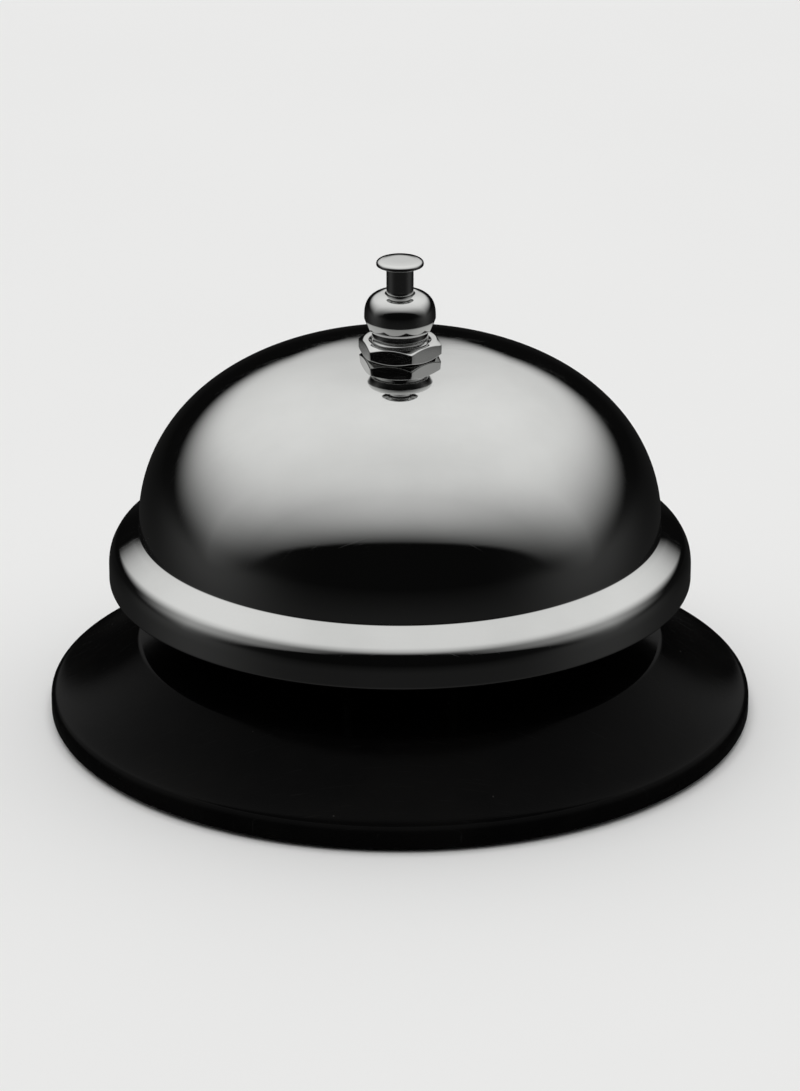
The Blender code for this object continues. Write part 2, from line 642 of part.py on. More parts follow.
def spring_points():
    """The coil's centre line: close end turns, and an even pitch between them."""
    per_turn = 8
    low = SPRING_BOTTOM_Z + SPRING_WIRE / 2
    high = SPRING_TOP_Z - SPRING_WIRE / 2
    middle_pitch = (high - low - 2 * SPRING_END_PITCH) / (SPRING_TURNS - 2)
    points = []
    for i in range(SPRING_TURNS * per_turn + 1):
        turn = i / per_turn
        first = min(turn, 1.0)
        last = max(turn - (SPRING_TURNS - 1), 0.0)
        z = low + first * SPRING_END_PITCH + (turn - first - last) * middle_pitch
        z += last * SPRING_END_PITCH
        angle = 2 * math.pi * turn
        points.append((SPRING_RADIUS * math.cos(angle), SPRING_RADIUS * math.sin(angle), z))
    return points


def make_spring(steel, brass):
    curve = bpy.data.curves.new("return_spring", "CURVE")
    curve.dimensions = "3D"
    curve.bevel_depth = SPRING_WIRE / 2
    curve.bevel_resolution = 2
    curve.use_fill_caps = True
    points = spring_points()
    spline = curve.splines.new("POLY")
    spline.points.add(len(points) - 1)
    for point, place in zip(spline.points, points):
        point.co = (*place, 1.0)
    add_part("return_spring", curve_to_mesh("return_spring", curve), steel)

    flange_z = PLATEAU_Z + CLEARANCE
    flange_top = flange_z + SEAT_FLANGE_HEIGHT
    tail_z = BASE_UNDER_Z - CLEARANCE
    tail_height = 0.6 * MM
    turned("spring_seat",
           [(0.0, flange_top + SEAT_BOSS_HEIGHT),
            (0.7 * SEAT_BOSS_RADIUS, flange_top + SEAT_BOSS_HEIGHT),
            (SEAT_BOSS_RADIUS, flange_top + 0.8 * SEAT_BOSS_HEIGHT), (SEAT_BOSS_RADIUS, flange_top),
            (SEAT_FLANGE_RADIUS, flange_top), (SEAT_FLANGE_RADIUS, flange_z),
            (RIVET_RADIUS, flange_z), (RIVET_RADIUS, tail_z), (RIVET_HEAD_RADIUS, tail_z),
            (RIVET_HEAD_RADIUS, tail_z - tail_height), (0.0, tail_z - tail_height)],
           brass)


def main():
    clear_scene()
    make_collection(PARTS)
    cutters = make_collection(CUTTERS)
    chrome = make_look("chrome", (0.565, 0.568, 0.562), 0.06, 1.0)
    enamel = make_look("black_enamel", (0.010, 0.010, 0.011), 0.14, 0.0)
    rubber = make_look("black_rubber", (0.02, 0.02, 0.02), 0.75, 0.0)
    fibre = make_look("vulcanised_fibre", (0.05, 0.04, 0.035), 0.8, 0.0)
    zinc = make_look("zinc_plate", (0.62, 0.63, 0.62), 0.35, 1.0)
    steel = make_look("spring_steel", (0.45, 0.46, 0.48), 0.25, 1.0)
    brass = make_look("brass", (0.78, 0.60, 0.28), 0.28, 1.0)
    make_base(enamel, rubber, fibre)
    make_bracket(zinc)
    make_rivets(steel)
    make_spring(steel, brass)
    make_post(chrome, zinc)
    make_gong(chrome, fibre)
    make_cap(chrome)
    make_plunger(chrome, steel)
    make_hinge(steel)
    make_hammer(zinc, brass, steel)
    cutters.hide_render = True


main()
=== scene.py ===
"""The looks of a desk service bell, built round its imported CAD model.

Lengths are in metres. The bell stands on z = 0 with its axis on Z. The front is -Y, and the
hammer strikes the gong at +Y.
"""

import math

import bmesh
import bpy
from mathutils import Matrix, Vector


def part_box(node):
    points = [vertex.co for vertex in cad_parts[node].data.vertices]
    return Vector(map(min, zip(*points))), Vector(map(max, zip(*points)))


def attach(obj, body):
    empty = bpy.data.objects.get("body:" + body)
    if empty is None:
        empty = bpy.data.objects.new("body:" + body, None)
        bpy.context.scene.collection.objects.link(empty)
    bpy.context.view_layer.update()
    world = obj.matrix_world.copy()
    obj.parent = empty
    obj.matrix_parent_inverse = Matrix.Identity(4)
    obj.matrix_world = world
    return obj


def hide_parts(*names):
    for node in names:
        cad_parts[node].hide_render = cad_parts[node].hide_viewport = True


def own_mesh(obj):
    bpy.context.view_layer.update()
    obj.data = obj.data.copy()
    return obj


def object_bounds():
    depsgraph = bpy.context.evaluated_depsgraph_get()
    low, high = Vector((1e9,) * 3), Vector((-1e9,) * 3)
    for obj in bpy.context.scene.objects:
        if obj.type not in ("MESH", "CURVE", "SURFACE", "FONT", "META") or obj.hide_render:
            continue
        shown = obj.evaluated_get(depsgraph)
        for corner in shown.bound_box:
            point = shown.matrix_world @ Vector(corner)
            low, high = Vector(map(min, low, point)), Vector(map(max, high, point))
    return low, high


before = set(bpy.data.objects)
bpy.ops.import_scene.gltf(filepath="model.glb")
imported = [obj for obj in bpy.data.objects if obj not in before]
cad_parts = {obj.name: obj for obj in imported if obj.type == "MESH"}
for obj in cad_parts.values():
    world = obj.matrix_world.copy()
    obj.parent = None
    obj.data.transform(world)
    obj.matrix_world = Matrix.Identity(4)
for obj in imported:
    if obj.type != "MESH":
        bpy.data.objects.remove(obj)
cad_low, cad_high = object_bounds()

MM = 0.001
TURN_STEPS = 96             # sides of the small turned pieces
BIG_STEPS = 240             # sides of the gong and the base, which show their outlines
CLOSE = 0.02 * MM           # outline points nearer than this are taken as one
CREASE_ANGLE = math.radians(40)         # sharper edges than this are shaded as edges
GAP = 0.3 * MM              # the CAD's clearance between pieces that rest on each other
SEATED = 0.02 * MM          # what is left of it here, where pieces should look seated
LOOSE = 0.05 * MM           # between a hole and the shaft that fills it

# Gong: the same curves as the CAD's, with more steps and a rounded lower edge.
DOME_TOP_Z = 46.25 * MM
CROWN_DROP = 0.30 * MM
CROWN_FLAT = 5.0 * MM       # radius that is pressed flat, for the nut
CROWN_EDGE = 13.0 * MM      # radius where the dome's own curve begins
GONG_SHEET = 0.9 * MM
WAIST_RADIUS = 31.75 * MM
WAIST_Z = 23.95 * MM
DOME_BASE_Z = 24.6 * MM     # where the dome's curve begins, above the upright waist
DOME_POWERS = (0.843, 0.974)
BAND_TOP_Z = 20.5 * MM
SHOULDER_EDGE = (34.65 * MM, 22.0 * MM)
CREASE = 0.12 * MM

# Base.
BASE_SHEET = 0.8 * MM
RIM_TOP_Z = 3.1 * MM
RIM_ROUND = 0.8 * MM
PLATEAU_RADIUS = 32.6 * MM
PLATEAU_ROUND = 0.9 * MM
SKIRT_POWER = 1.3
SEAT_BOSS_RADIUS = 1.7 * MM

# Fasteners.
NUT_ACROSS_FLATS = 9.0 * MM
NUT_TURN = math.radians(15.7)           # from one corner at the front, towards +X
POST_NUT_ACROSS_FLATS = 8.0 * MM
POST_RADIUS = 3.4 * MM
THREAD_PITCH = 0.75 * MM
THREAD_DEPTH = 0.36 * MM
THREAD_FLAT = 0.12          # share of a thread's side that is flat at its crest and its root
POST_BODY_RADIUS = 4.8 * MM
POST_SEAT_HEIGHT = 1.8 * MM
SPIGOT_RADIUS = 2.9 * MM
BRACKET_SHEET = 1.0 * MM
CAP_SIDE = 1.6 * MM         # height where the cap's side begins, above its lower edge
CAP_POWER = 0.72            # how full the cap's curve is: lower is squarer
RIVET_RADIUS = 1.1 * MM
RIVET_HEAD_RADIUS = 2.0 * MM

# Plunger and hammer.
ROD_RADIUS = 1.63 * MM
BUTTON_RADIUS = 2.85 * MM
BUTTON_EDGE = 0.7 * MM
HINGE = Vector((0.0, 11.0 * MM, 30.0 * MM))
PIN_RADIUS = 1.0 * MM
KNUCKLE_RADIUS = 2.3 * MM
HAMMER_SHEET = 1.2 * MM
RIVET_POCKET = 1.6 * MM     # how deep the hammer's rivet goes into its head
HEAD_RADIUS = 3.1 * MM
HEAD_SKIRT = 2.0 * MM
STRIKE_Z = 19.3 * MM
STRIKE_GAP = 0.4 * MM
TRAVEL = 3.2 * MM

# Return spring.
SPRING_RADIUS = 2.6 * MM
SPRING_WIRE = 0.6 * MM
SPRING_TURNS = 8
SPRING_END_PITCH = 0.85 * MM


# ---------------------------------------------------------------- shapes

def soften(corners, closed=True, pieces=4):
    """Round each corner (radius, z, size) of an outline by its own size."""
    points = []
    count = len(corners)
    for i, (radius, z, size) in enumerate(corners):
        here = Vector((radius, z))
        if size == 0 or (not closed and i in (0, count - 1)):
            points.append(here)
            continue
        before = Vector(corners[i - 1][:2]) - here
        after = Vector(corners[(i + 1) % count][:2]) - here
        start = here + before.normalized() * min(size, before.length / 2)
        end = here + after.normalized() * min(size, after.length / 2)
        points += bend(start, here, end, pieces)
    return points


def bend(start, corner, end, pieces):
    """Points on a smooth curve from start to end that leaves and arrives along the corner."""
    points = []
    for k in range(pieces + 1):
        t = k / pieces
        points.append(start * (1 - t) ** 2 + corner * (2 * t * (1 - t)) + end * t ** 2)
    return points


def arc(centre, radius, start, end, count):
    """Points on an arc in an outline's plane, from one angle in degrees to another."""
    points = []
    for i in range(count + 1):
        angle = math.radians(start + (end - start) * i / count)
        points.append(Vector((centre[0] + radius * math.cos(angle),
                              centre[1] + radius * math.sin(angle))))
    return points


def inset(points, distance):
    """The same outline moved to its right-hand side, which is inwards for one that runs down."""
    moved = []
    last = len(points) - 1
    for i, point in enumerate(points):
        along = (points[min(i + 1, last)] - points[max(i - 1, 0)]).normalized()
        moved.append(point + Vector((along.y, -along.x)) * distance)
    return moved


def without_repeats(points):
    kept = [points[0]]
    for point in points[1:]:
        if (point - kept[-1]).length > CLOSE:
            kept.append(point)
    if (kept[0] - kept[-1]).length <= CLOSE:
        kept.pop()
    return kept


def finish_mesh(name, shape, looks):
    """Make an object of a bmesh, smooth except at its sharp edges."""
    bmesh.ops.recalc_face_normals(shape, faces=shape.faces)
    mesh = bpy.data.meshes.new(name)
    shape.to_mesh(mesh)
    shape.free()
    mesh.shade_smooth()
    mesh.set_sharp_from_angle(angle=CREASE_ANGLE)
    piece = bpy.data.objects.new(name, mesh)
    bpy.context.scene.collection.objects.link(piece)
    for look in looks:
        mesh.materials.append(look)
    return piece


def turned(name, outline, looks, steps=TURN_STEPS, inside_from=None):
    """Turn a closed outline of (radius, z) about Z.

    Points on the axis become poles. Faces from point number inside_from on take the second look.
    """
    shape = bmesh.new()
    rings = []
    for radius, z in outline:
        if radius < CLOSE / 10:
            rings.append([shape.verts.new((0.0, 0.0, z))])
            continue
        ring = []
        for i in range(steps):
            angle = 2 * math.pi * i / steps
            ring.append(shape.verts.new((radius * math.cos(angle), radius * math.sin(angle), z)))
        rings.append(ring)
    for number, (above, below) in enumerate(zip(rings, rings[1:] + rings[:1])):
        if len(above) == 1 and len(below) == 1:
            continue
        second = inside_from is not None and number >= inside_from
        for i in range(steps):
            j = (i + 1) % steps
            corners = [above[i % len(above)], above[j % len(above)],
                       below[j % len(below)], below[i % len(below)]]
            face = shape.faces.new(list(dict.fromkeys(corners)))
            face.material_index = 1 if second else 0
    return finish_mesh(name, shape, looks)


def even_shading(piece):
    """Let large faces set the shading, so that flats stay flat beside small roundings."""
    piece.modifiers.new("even_shading", "WEIGHTED_NORMAL").keep_sharp = True
    return piece


def softened_copy(node, width, look):
    """A welded copy of a CAD node with its edges rounded off."""
    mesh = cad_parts[node].data.copy()
    for layer in [item.name for item in mesh.attributes if item.name == "custom_normal"]:
        mesh.attributes.remove(mesh.attributes[layer])
    shape = bmesh.new()
    shape.from_mesh(mesh)
    bmesh.ops.remove_doubles(shape, verts=shape.verts, dist=0.001 * MM)
    bmesh.ops.dissolve_limit(shape, angle_limit=math.radians(1), verts=shape.verts,
                             edges=shape.edges)
    sharp = [edge for edge in shape.edges
             if edge.is_manifold and edge.calc_face_angle() > math.radians(25)]
    bmesh.ops.bevel(shape, geom=sharp, offset=width, offset_type="OFFSET", segments=2,
                    profile=0.5, affect="EDGES", clamp_overlap=True)
    for face in shape.faces:
        face.material_index = 0
    bpy.data.meshes.remove(mesh)
    return even_shading(finish_mesh(node + "_fine", shape, [look]))


def hexagon_reach(angle, across_flats):
    """How far a hexagon's side is from its middle. It has a corner at angle 0."""
    from_flat = (angle % math.radians(60)) - math.radians(30)
    return across_flats / 2 / math.cos(from_flat)


def hex_nut(name, across_flats, bottom, top, bore, turn, look, steps=96):
    """A hexagon nut with its corners turned off at 30 degrees, above and below."""
    flat = across_flats / 2 - 0.12 * MM
    corner = across_flats / 2 / 0.872       # a little less than a sharp hexagon's
    chamfer = 0.3 * MM
    shape = bmesh.new()
    rings = []
    for i in range(steps):
        around = 2 * math.pi * i / steps
        angle = around + turn - math.pi / 2
        reach = min(hexagon_reach(around, across_flats), corner)
        drop = (reach - flat) * math.tan(math.radians(30))
        outline = [(bore, top - chamfer), (bore + chamfer, top), (flat, top),
                   (reach, top - drop), (reach, bottom + drop), (flat, bottom),
                   (bore + chamfer, bottom), (bore, bottom + chamfer)]
        rings.append([shape.verts.new((radius * math.cos(angle), radius * math.sin(angle), z))
                      for radius, z in outline])
    for here, after in zip(rings, rings[1:] + rings[:1]):
        for k in range(len(here)):
            n = (k + 1) % len(here)
            shape.faces.new((here[k], after[k], after[n], here[n]))
    nut = finish_mesh(name, shape, [look])
    bevel = nut.modifiers.new("soft_edges", "BEVEL")
    bevel.width = 0.09 * MM
    bevel.segments = 2
    bevel.angle_limit = math.radians(20)
    return even_shading(nut)


def stand_in(piece, body, slot, *nodes):
    """Put a piece in the CAD nodes' place."""
    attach(piece, body)
    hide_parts(*nodes)


# ---------------------------------------------------------------- looks

def begin_look(name):
    material = bpy.data.materials.new(name)
    material.use_nodes = True
    tree = material.node_tree
    return material, tree, tree.nodes["Principled BSDF"]


def add_node(tree, kind, inputs, **settings):
    """Add a shader node. Each input is a number, a tuple or another node's socket."""
    made = tree.nodes.new("ShaderNode" + kind)
    for name, value in settings.items():
        setattr(made, name, value)
    for key, value in inputs.items():
        if isinstance(value, bpy.types.NodeSocket):
            tree.links.new(value, made.inputs[key])
        else:
            made.inputs[key].default_value = value
    return made


def object_place(tree):
    return add_node(tree, "TexCoord", {}).outputs["Object"]


def stretched(tree, place, size, turn=(0.0, 0.0, 0.0)):
    """Coordinates in which one unit is the given size along each axis."""
    scale = tuple(1 / length for length in size)
    made = add_node(tree, "Mapping", {"Vector": place, "Rotation": turn, "Scale": scale})
    return made.outputs["Vector"]


def grain(tree, place, size, detail=3.0, roughness=0.5):
    """Noise from 0 to 1 with blotches of about the given size."""
    made = add_node(tree, "TexNoise", {"Vector": place, "Scale": 1 / size, "Detail": detail,
                                       "Roughness": roughness})
    return made.outputs[0]


def span(tree, value, low, high, first, second, smooth=True):
    """Carry a value from one range to another, and hold it at the ends."""
    kind = "SMOOTHSTEP" if smooth else "LINEAR"
    made = add_node(tree, "MapRange", {"Value": value, "From Min": low, "From Max": high,
                                       "To Min": first, "To Max": second},
                    interpolation_type=kind)
    return made.outputs["Result"]


def maths(tree, operation, *values):
    return add_node(tree, "Math", dict(enumerate(values)), operation=operation).outputs[0]


def squared(tree, value):
    return maths(tree, "MULTIPLY", value, value)


def mixed(tree, share, first, second):
    """From one colour to another as share goes from 0 to 1."""
    first, second = [(*colour, 1.0) if isinstance(colour, tuple) else colour
                     for colour in (first, second)]
    made = add_node(tree, "Mix", {0: share, 6: first, 7: second}, data_type="RGBA")
    return made.outputs[2]


def relief(tree, height, depth, under=None):
    """A bump of the given depth, in metres, on top of another bump if there is one."""
    inputs = {"Strength": 1.0, "Distance": depth, "Height": height}
    if under is not None:
        inputs["Normal"] = under
    return add_node(tree, "Bump", inputs).outputs["Normal"]


def round_place(tree, place):
    """(distance from Z, height) of a point, which marks left by a lathe follow."""
    parts = add_node(tree, "SeparateXYZ", {"Vector": place})
    x, y, z = parts.outputs
    return maths(tree, "SQRT", maths(tree, "ADD", squared(tree, x), squared(tree, y))), z


def lathe_marks(tree, place, size):
    """Fine rings round Z, as a turning tool or a polishing mop leaves them."""
    radius, height = round_place(tree, place)
    flat = add_node(tree, "CombineXYZ", {0: radius, 1: 0.0, 2: height}).outputs[0]
    return grain(tree, flat, size, detail=2.0, roughness=0.7)


def scratches(tree, place, length, width, share):
    """Thin random hairlines: two stretched noises, cut off high. share sets how many show."""
    found = None
    for turn in ((0.3, 0.5, 0.9), (1.1, -0.4, 2.2)):
        lines = grain(tree, stretched(tree, place, (length, width, length), turn), 1.0, 2.0, 0.6)
        cut = span(tree, lines, 0.74 - share, 0.78 - share, 0.0, 1.0)
        found = cut if found is None else maths(tree, "MAXIMUM", found, cut)
    return found


def specks(tree, place, spacing, size, share):
    """Small separate dots, such as dust. Only some of the cells of a grid hold one."""
    cells = add_node(tree, "TexVoronoi", {"Vector": place, "Scale": 1 / spacing},
                     feature="F1")
    dot = span(tree, cells.outputs["Distance"], size * 0.5, size, 1.0, 0.0)
    chosen = add_node(tree, "SeparateColor", {"Color": cells.outputs["Color"]}).outputs[0]
    return maths(tree, "MULTIPLY", dot, maths(tree, "LESS_THAN", chosen, share))


def chrome_look(name, tone, gloss, marks):
    """Bright chrome: a near mirror with polishing rings, hairlines and finger smears."""
    material, tree, shader = begin_look(name)
    place = object_place(tree)
    cloud = grain(tree, place, 16 * MM, 4.0)
    smear = grain(tree, place, 4.5 * MM, 6.0, 0.62)
    rings = lathe_marks(tree, place, 0.35 * MM)
    hairs = scratches(tree, place, 9 * MM, 0.10 * MM, 0.06)
    pale = tuple(c * 1.03 for c in tone)
    deep = tuple(c * 0.96 for c in tone)
    colour = mixed(tree, span(tree, cloud, 0.35, 0.65, 0.0, 1.0), deep, pale)
    colour = mixed(tree, maths(tree, "MULTIPLY", hairs, 0.10), colour, (0.72, 0.72, 0.72))
    tree.links.new(colour, shader.inputs["Base Color"])
    dull = maths(tree, "MULTIPLY", span(tree, smear, 0.48, 0.74, 0.0, 1.0), 0.05)
    dull = maths(tree, "ADD", dull, maths(tree, "MULTIPLY", hairs, 0.05))
    dull = maths(tree, "ADD", dull, maths(tree, "MULTIPLY", rings, marks))
    tree.links.new(maths(tree, "ADD", dull, gloss), shader.inputs["Roughness"])
    shader.inputs["Metallic"].default_value = 1.0
    ripple = relief(tree, grain(tree, place, 2.6 * MM, 2.0), 0.0012 * MM)
    ripple = relief(tree, rings, 0.0006 * MM, ripple)
    tree.links.new(relief(tree, hairs, 0.0006 * MM, ripple), shader.inputs["Normal"])
    return material


def gong_inside_look():
    """The gong's unpolished inside: thin plating over drawn steel, with drawing rings."""
    material, tree, shader = begin_look("chrome_inside")
    place = object_place(tree)
    rings = lathe_marks(tree, place, 0.5 * MM)
    stain = grain(tree, place, 6 * MM, 5.0, 0.6)
    colour = mixed(tree, span(tree, stain, 0.35, 0.7, 0.0, 1.0), (0.40, 0.40, 0.40),
                   (0.27, 0.255, 0.235))
    colour = mixed(tree, maths(tree, "MULTIPLY", rings, 0.4), colour, (0.46, 0.46, 0.46))
    tree.links.new(colour, shader.inputs["Base Color"])
    tree.links.new(span(tree, stain, 0.3, 0.7, 0.26, 0.48), shader.inputs["Roughness"])
    shader.inputs["Metallic"].default_value = 1.0
    tree.links.new(relief(tree, rings, 0.006 * MM), shader.inputs["Normal"])
    return material


def enamel_look():
    """Stoved black gloss enamel: a little orange peel, fine swirls and a few specks of dust."""
    material, tree, shader = begin_look("black_enamel_gloss")
    place = object_place(tree)
    cloud = grain(tree, place, 11 * MM, 4.0, 0.55)
    peel = grain(tree, place, 0.9 * MM, 2.0, 0.4)
    hairs = scratches(tree, place, 7 * MM, 0.12 * MM, 0.05)
    dust = specks(tree, place, 2.6 * MM, 0.055, 0.35)
    colour = mixed(tree, span(tree, cloud, 0.3, 0.7, 0.0, 1.0), (0.0022, 0.0022, 0.0023),
                   (0.0036, 0.0035, 0.0034))
    colour = mixed(tree, maths(tree, "MULTIPLY", dust, 0.22), colour, (0.12, 0.115, 0.11))
    colour = mixed(tree, maths(tree, "MULTIPLY", hairs, 0.25), colour, (0.02, 0.02, 0.02))
    tree.links.new(colour, shader.inputs["Base Color"])
    dull = maths(tree, "ADD", span(tree, cloud, 0.3, 0.7, 0.10, 0.17),
                 maths(tree, "MULTIPLY", maths(tree, "MAXIMUM", dust, hairs), 0.22))
    tree.links.new(dull, shader.inputs["Roughness"])
    shader.inputs["Specular IOR Level"].default_value = 0.02
    bumps = relief(tree, peel, 0.0035 * MM)
    tree.links.new(relief(tree, dust, 0.006 * MM, bumps), shader.inputs["Normal"])
    return material


def rubber_look():
    """Moulded black rubber with a fine matt grain and grey bloom."""
    material, tree, shader = begin_look("black_rubber_matt")
    place = object_place(tree)
    bloom = grain(tree, place, 5 * MM, 5.0, 0.6)
    fine = grain(tree, place, 0.25 * MM, 3.0, 0.6)
    colour = mixed(tree, span(tree, bloom, 0.4, 0.75, 0.0, 1.0), (0.017, 0.017, 0.018),
                   (0.045, 0.045, 0.045))
    tree.links.new(colour, shader.inputs["Base Color"])
    tree.links.new(span(tree, fine, 0.3, 0.7, 0.62, 0.85), shader.inputs["Roughness"])
    shader.inputs["Specular IOR Level"].default_value = 0.3
    tree.links.new(relief(tree, fine, 0.02 * MM), shader.inputs["Normal"])
    return material


def fibre_look():
    """Vulcanised fibre sheet: pressed paper fibres, nearly black, with paler flecks."""
    material, tree, shader = begin_look("vulcanised_fibre_sheet")
    place = object_place(tree)
    strands = grain(tree, stretched(tree, place, (1.6 * MM, 0.16 * MM, 0.16 * MM),
                                    (0.0, 0.0, 0.6)), 1.0, 4.0, 0.6)
    crossing = grain(tree, stretched(tree, place, (0.16 * MM, 1.6 * MM, 0.16 * MM),
                                     (0.0, 0.0, 0.2)), 1.0, 4.0, 0.6)
    paper = maths(tree, "MAXIMUM", strands, crossing)
    flecks = specks(tree, place, 1.1 * MM, 0.16, 0.3)
    colour = mixed(tree, span(tree, paper, 0.45, 0.75, 0.0, 1.0), (0.016, 0.013, 0.011),
                   (0.060, 0.046, 0.036))
    colour = mixed(tree, maths(tree, "MULTIPLY", flecks, 0.5), colour, (0.11, 0.085, 0.06))
    tree.links.new(colour, shader.inputs["Base Color"])
    tree.links.new(span(tree, paper, 0.4, 0.8, 0.6, 0.85), shader.inputs["Roughness"])
    tree.links.new(relief(tree, paper, 0.03 * MM), shader.inputs["Normal"])
    return material


FILMED_METAL = 0.72         # metals inside, whose film of oil and oxide scatters some light


def zinc_look():
    """Bright zinc plate on pressed steel: fine spangle, rolling lines and dull patches."""
    material, tree, shader = begin_look("zinc_plate_bright")
    place = object_place(tree)
    cells = add_node(tree, "TexVoronoi", {"Vector": place, "Scale": 1 / (0.9 * MM)},
                     feature="F1")
    spangle = add_node(tree, "SeparateColor", {"Color": cells.outputs["Color"]}).outputs[0]
    patch = grain(tree, place, 5 * MM, 5.0, 0.6)
    lines = grain(tree, stretched(tree, place, (0.07 * MM, 6 * MM, 6 * MM)), 1.0, 3.0, 0.6)
    colour = mixed(tree, spangle, (0.50, 0.51, 0.50), (0.66, 0.66, 0.64))
    colour = mixed(tree, span(tree, patch, 0.5, 0.8, 0.0, 0.7), colour, (0.42, 0.41, 0.36))
    tree.links.new(colour, shader.inputs["Base Color"])
    dull = maths(tree, "ADD", span(tree, patch, 0.3, 0.75, 0.24, 0.46),
                 maths(tree, "MULTIPLY", lines, 0.10))
    tree.links.new(dull, shader.inputs["Roughness"])
    shader.inputs["Metallic"].default_value = FILMED_METAL
    bumps = relief(tree, lines, 0.004 * MM)
    tree.links.new(relief(tree, spangle, 0.0015 * MM, bumps), shader.inputs["Normal"])
    return material


def steel_look():
    """Drawn and oiled spring steel: grey, with fine draw lines and a faint straw tint."""
    material, tree, shader = begin_look("spring_steel_drawn")
    place = object_place(tree)
    lines = lathe_marks(tree, place, 0.12 * MM)
    tint = grain(tree, place, 3 * MM, 4.0, 0.6)
    colour = mixed(tree, span(tree, tint, 0.35, 0.7, 0.0, 1.0), (0.36, 0.37, 0.39),
                   (0.44, 0.41, 0.36))
    colour = mixed(tree, maths(tree, "MULTIPLY", lines, 0.35), colour, (0.56, 0.56, 0.57))
    tree.links.new(colour, shader.inputs["Base Color"])
    tree.links.new(span(tree, tint, 0.3, 0.7, 0.20, 0.36), shader.inputs["Roughness"])
    shader.inputs["Metallic"].default_value = FILMED_METAL
    tree.links.new(relief(tree, lines, 0.003 * MM), shader.inputs["Normal"])
    return material


def brass_look():
    """Turned brass: tool rings, and brown tarnish in blotches."""
    material, tree, shader = begin_look("brass_turned")
    place = object_place(tree)
    rings = lathe_marks(tree, place, 0.16 * MM)
    tarnish = grain(tree, place, 2.4 * MM, 5.0, 0.62)
    spots = specks(tree, place, 1.2 * MM, 0.12, 0.3)
    colour = mixed(tree, span(tree, tarnish, 0.38, 0.72, 0.0, 1.0), (0.74, 0.54, 0.22),
                   (0.46, 0.30, 0.12))
    colour = mixed(tree, maths(tree, "MULTIPLY", rings, 0.3), colour, (0.86, 0.66, 0.32))
    colour = mixed(tree, maths(tree, "MULTIPLY", spots, 0.5), colour, (0.20, 0.13, 0.06))
    tree.links.new(colour, shader.inputs["Base Color"])
    dull = maths(tree, "ADD", span(tree, tarnish, 0.35, 0.7, 0.16, 0.38),
                 maths(tree, "MULTIPLY", spots, 0.2))
    tree.links.new(dull, shader.inputs["Roughness"])
    shader.inputs["Metallic"].default_value = FILMED_METAL
    tree.links.new(relief(tree, rings, 0.005 * MM), shader.inputs["Normal"])
    return material


CHROME_TONE = (0.565, 0.568, 0.562)
chrome = chrome_look("chrome_mirror", CHROME_TONE, 0.030, 0.012)
chrome_small = chrome_look("chrome_turned", CHROME_TONE, 0.045, 0.05)
chrome_inside = gong_inside_look()
enamel = enamel_look()
rubber = rubber_look()
fibre = fibre_look()
zinc = zinc_look()
steel = steel_look()
brass = brass_look()


# ---------------------------------------------------------------- gong and base

def crown_drop(radius):
    """How far the crown is pressed down under the nut, below the dome's own curve."""
    share = min(max((CROWN_EDGE - radius) / (CROWN_EDGE - CROWN_FLAT), 0.0), 1.0)
    return CROWN_DROP * share * share * (3 - 2 * share)


def dome_points(hole, count=110):
    """The dome's outer curve, from its hole down to its upright foot just above the waist."""
    start = math.acos((hole / WAIST_RADIUS) ** (1 / DOME_POWERS[0]))
    dome_height = DOME_TOP_Z - DOME_BASE_Z
    points = []
    for i in range(count + 1):
        angle = start * (1 - i / count)
        radius = WAIST_RADIUS * math.cos(angle) ** DOME_POWERS[0]
        height = dome_height * math.sin(angle) ** DOME_POWERS[1]
        points.append(Vector((radius, DOME_BASE_Z + height - crown_drop(radius))))
    foot = Vector((WAIST_RADIUS, WAIST_Z + CREASE))
    return points + [points[-1].lerp(foot, share) for share in (0.33, 0.67, 1.0)]


def shoulder_points(gong_radius, slope):
    """The shoulder's outer curve: a straight slope from the waist, then rounded to the band."""
    start = Vector((WAIST_RADIUS, WAIST_Z)) + slope * CREASE
    slope_length = (Vector(SHOULDER_EDGE) - start).length
    corners = [(*(start + slope * slope_length * share), 0) for share in (0.0, 0.25, 0.5, 0.7)]
    corners += [(*SHOULDER_EDGE, 0.5 * MM), (gong_radius, BAND_TOP_Z, 1.1 * MM),
                (gong_radius, BAND_TOP_Z - 2.2 * MM, 0)]
    return soften(corners, closed=False, pieces=9)


def make_gong():
    low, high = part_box("gong")
    gong_radius = high.x
    dome = dome_points(POST_RADIUS + GAP)
    waist = Vector((WAIST_RADIUS, WAIST_Z))
    slope = (Vector(SHOULDER_EDGE) - waist).normalized()
    shoulder = shoulder_points(gong_radius, slope)
    edge = GONG_SHEET / 2
    band_bottom = Vector((gong_radius, low.z + edge))
    band = [shoulder[-1].lerp(band_bottom, share) for share in (0.3, 0.6, 0.85)]
    outside = dome + bend(dome[-1], waist, shoulder[0], 5)[1:-1] + shoulder + band
    lower_edge = arc((band_bottom.x - edge, band_bottom.y), edge, 0, -180, 12)
    slope_turn = math.degrees(math.atan2(-slope.y, slope.x))
    inside = inset(dome, GONG_SHEET) + arc(waist, GONG_SHEET, 180, 270 - slope_turn, 6)
    inside += inset(shoulder, GONG_SHEET)
    outline = without_repeats(outside + lower_edge + inside[::-1])
    swap = len(outside) + len(lower_edge) - 2
    gong = turned("gong_fine", outline, [chrome, chrome_inside], BIG_STEPS, inside_from=swap)
    stand_in(gong, "bell_body", "chrome", "gong")


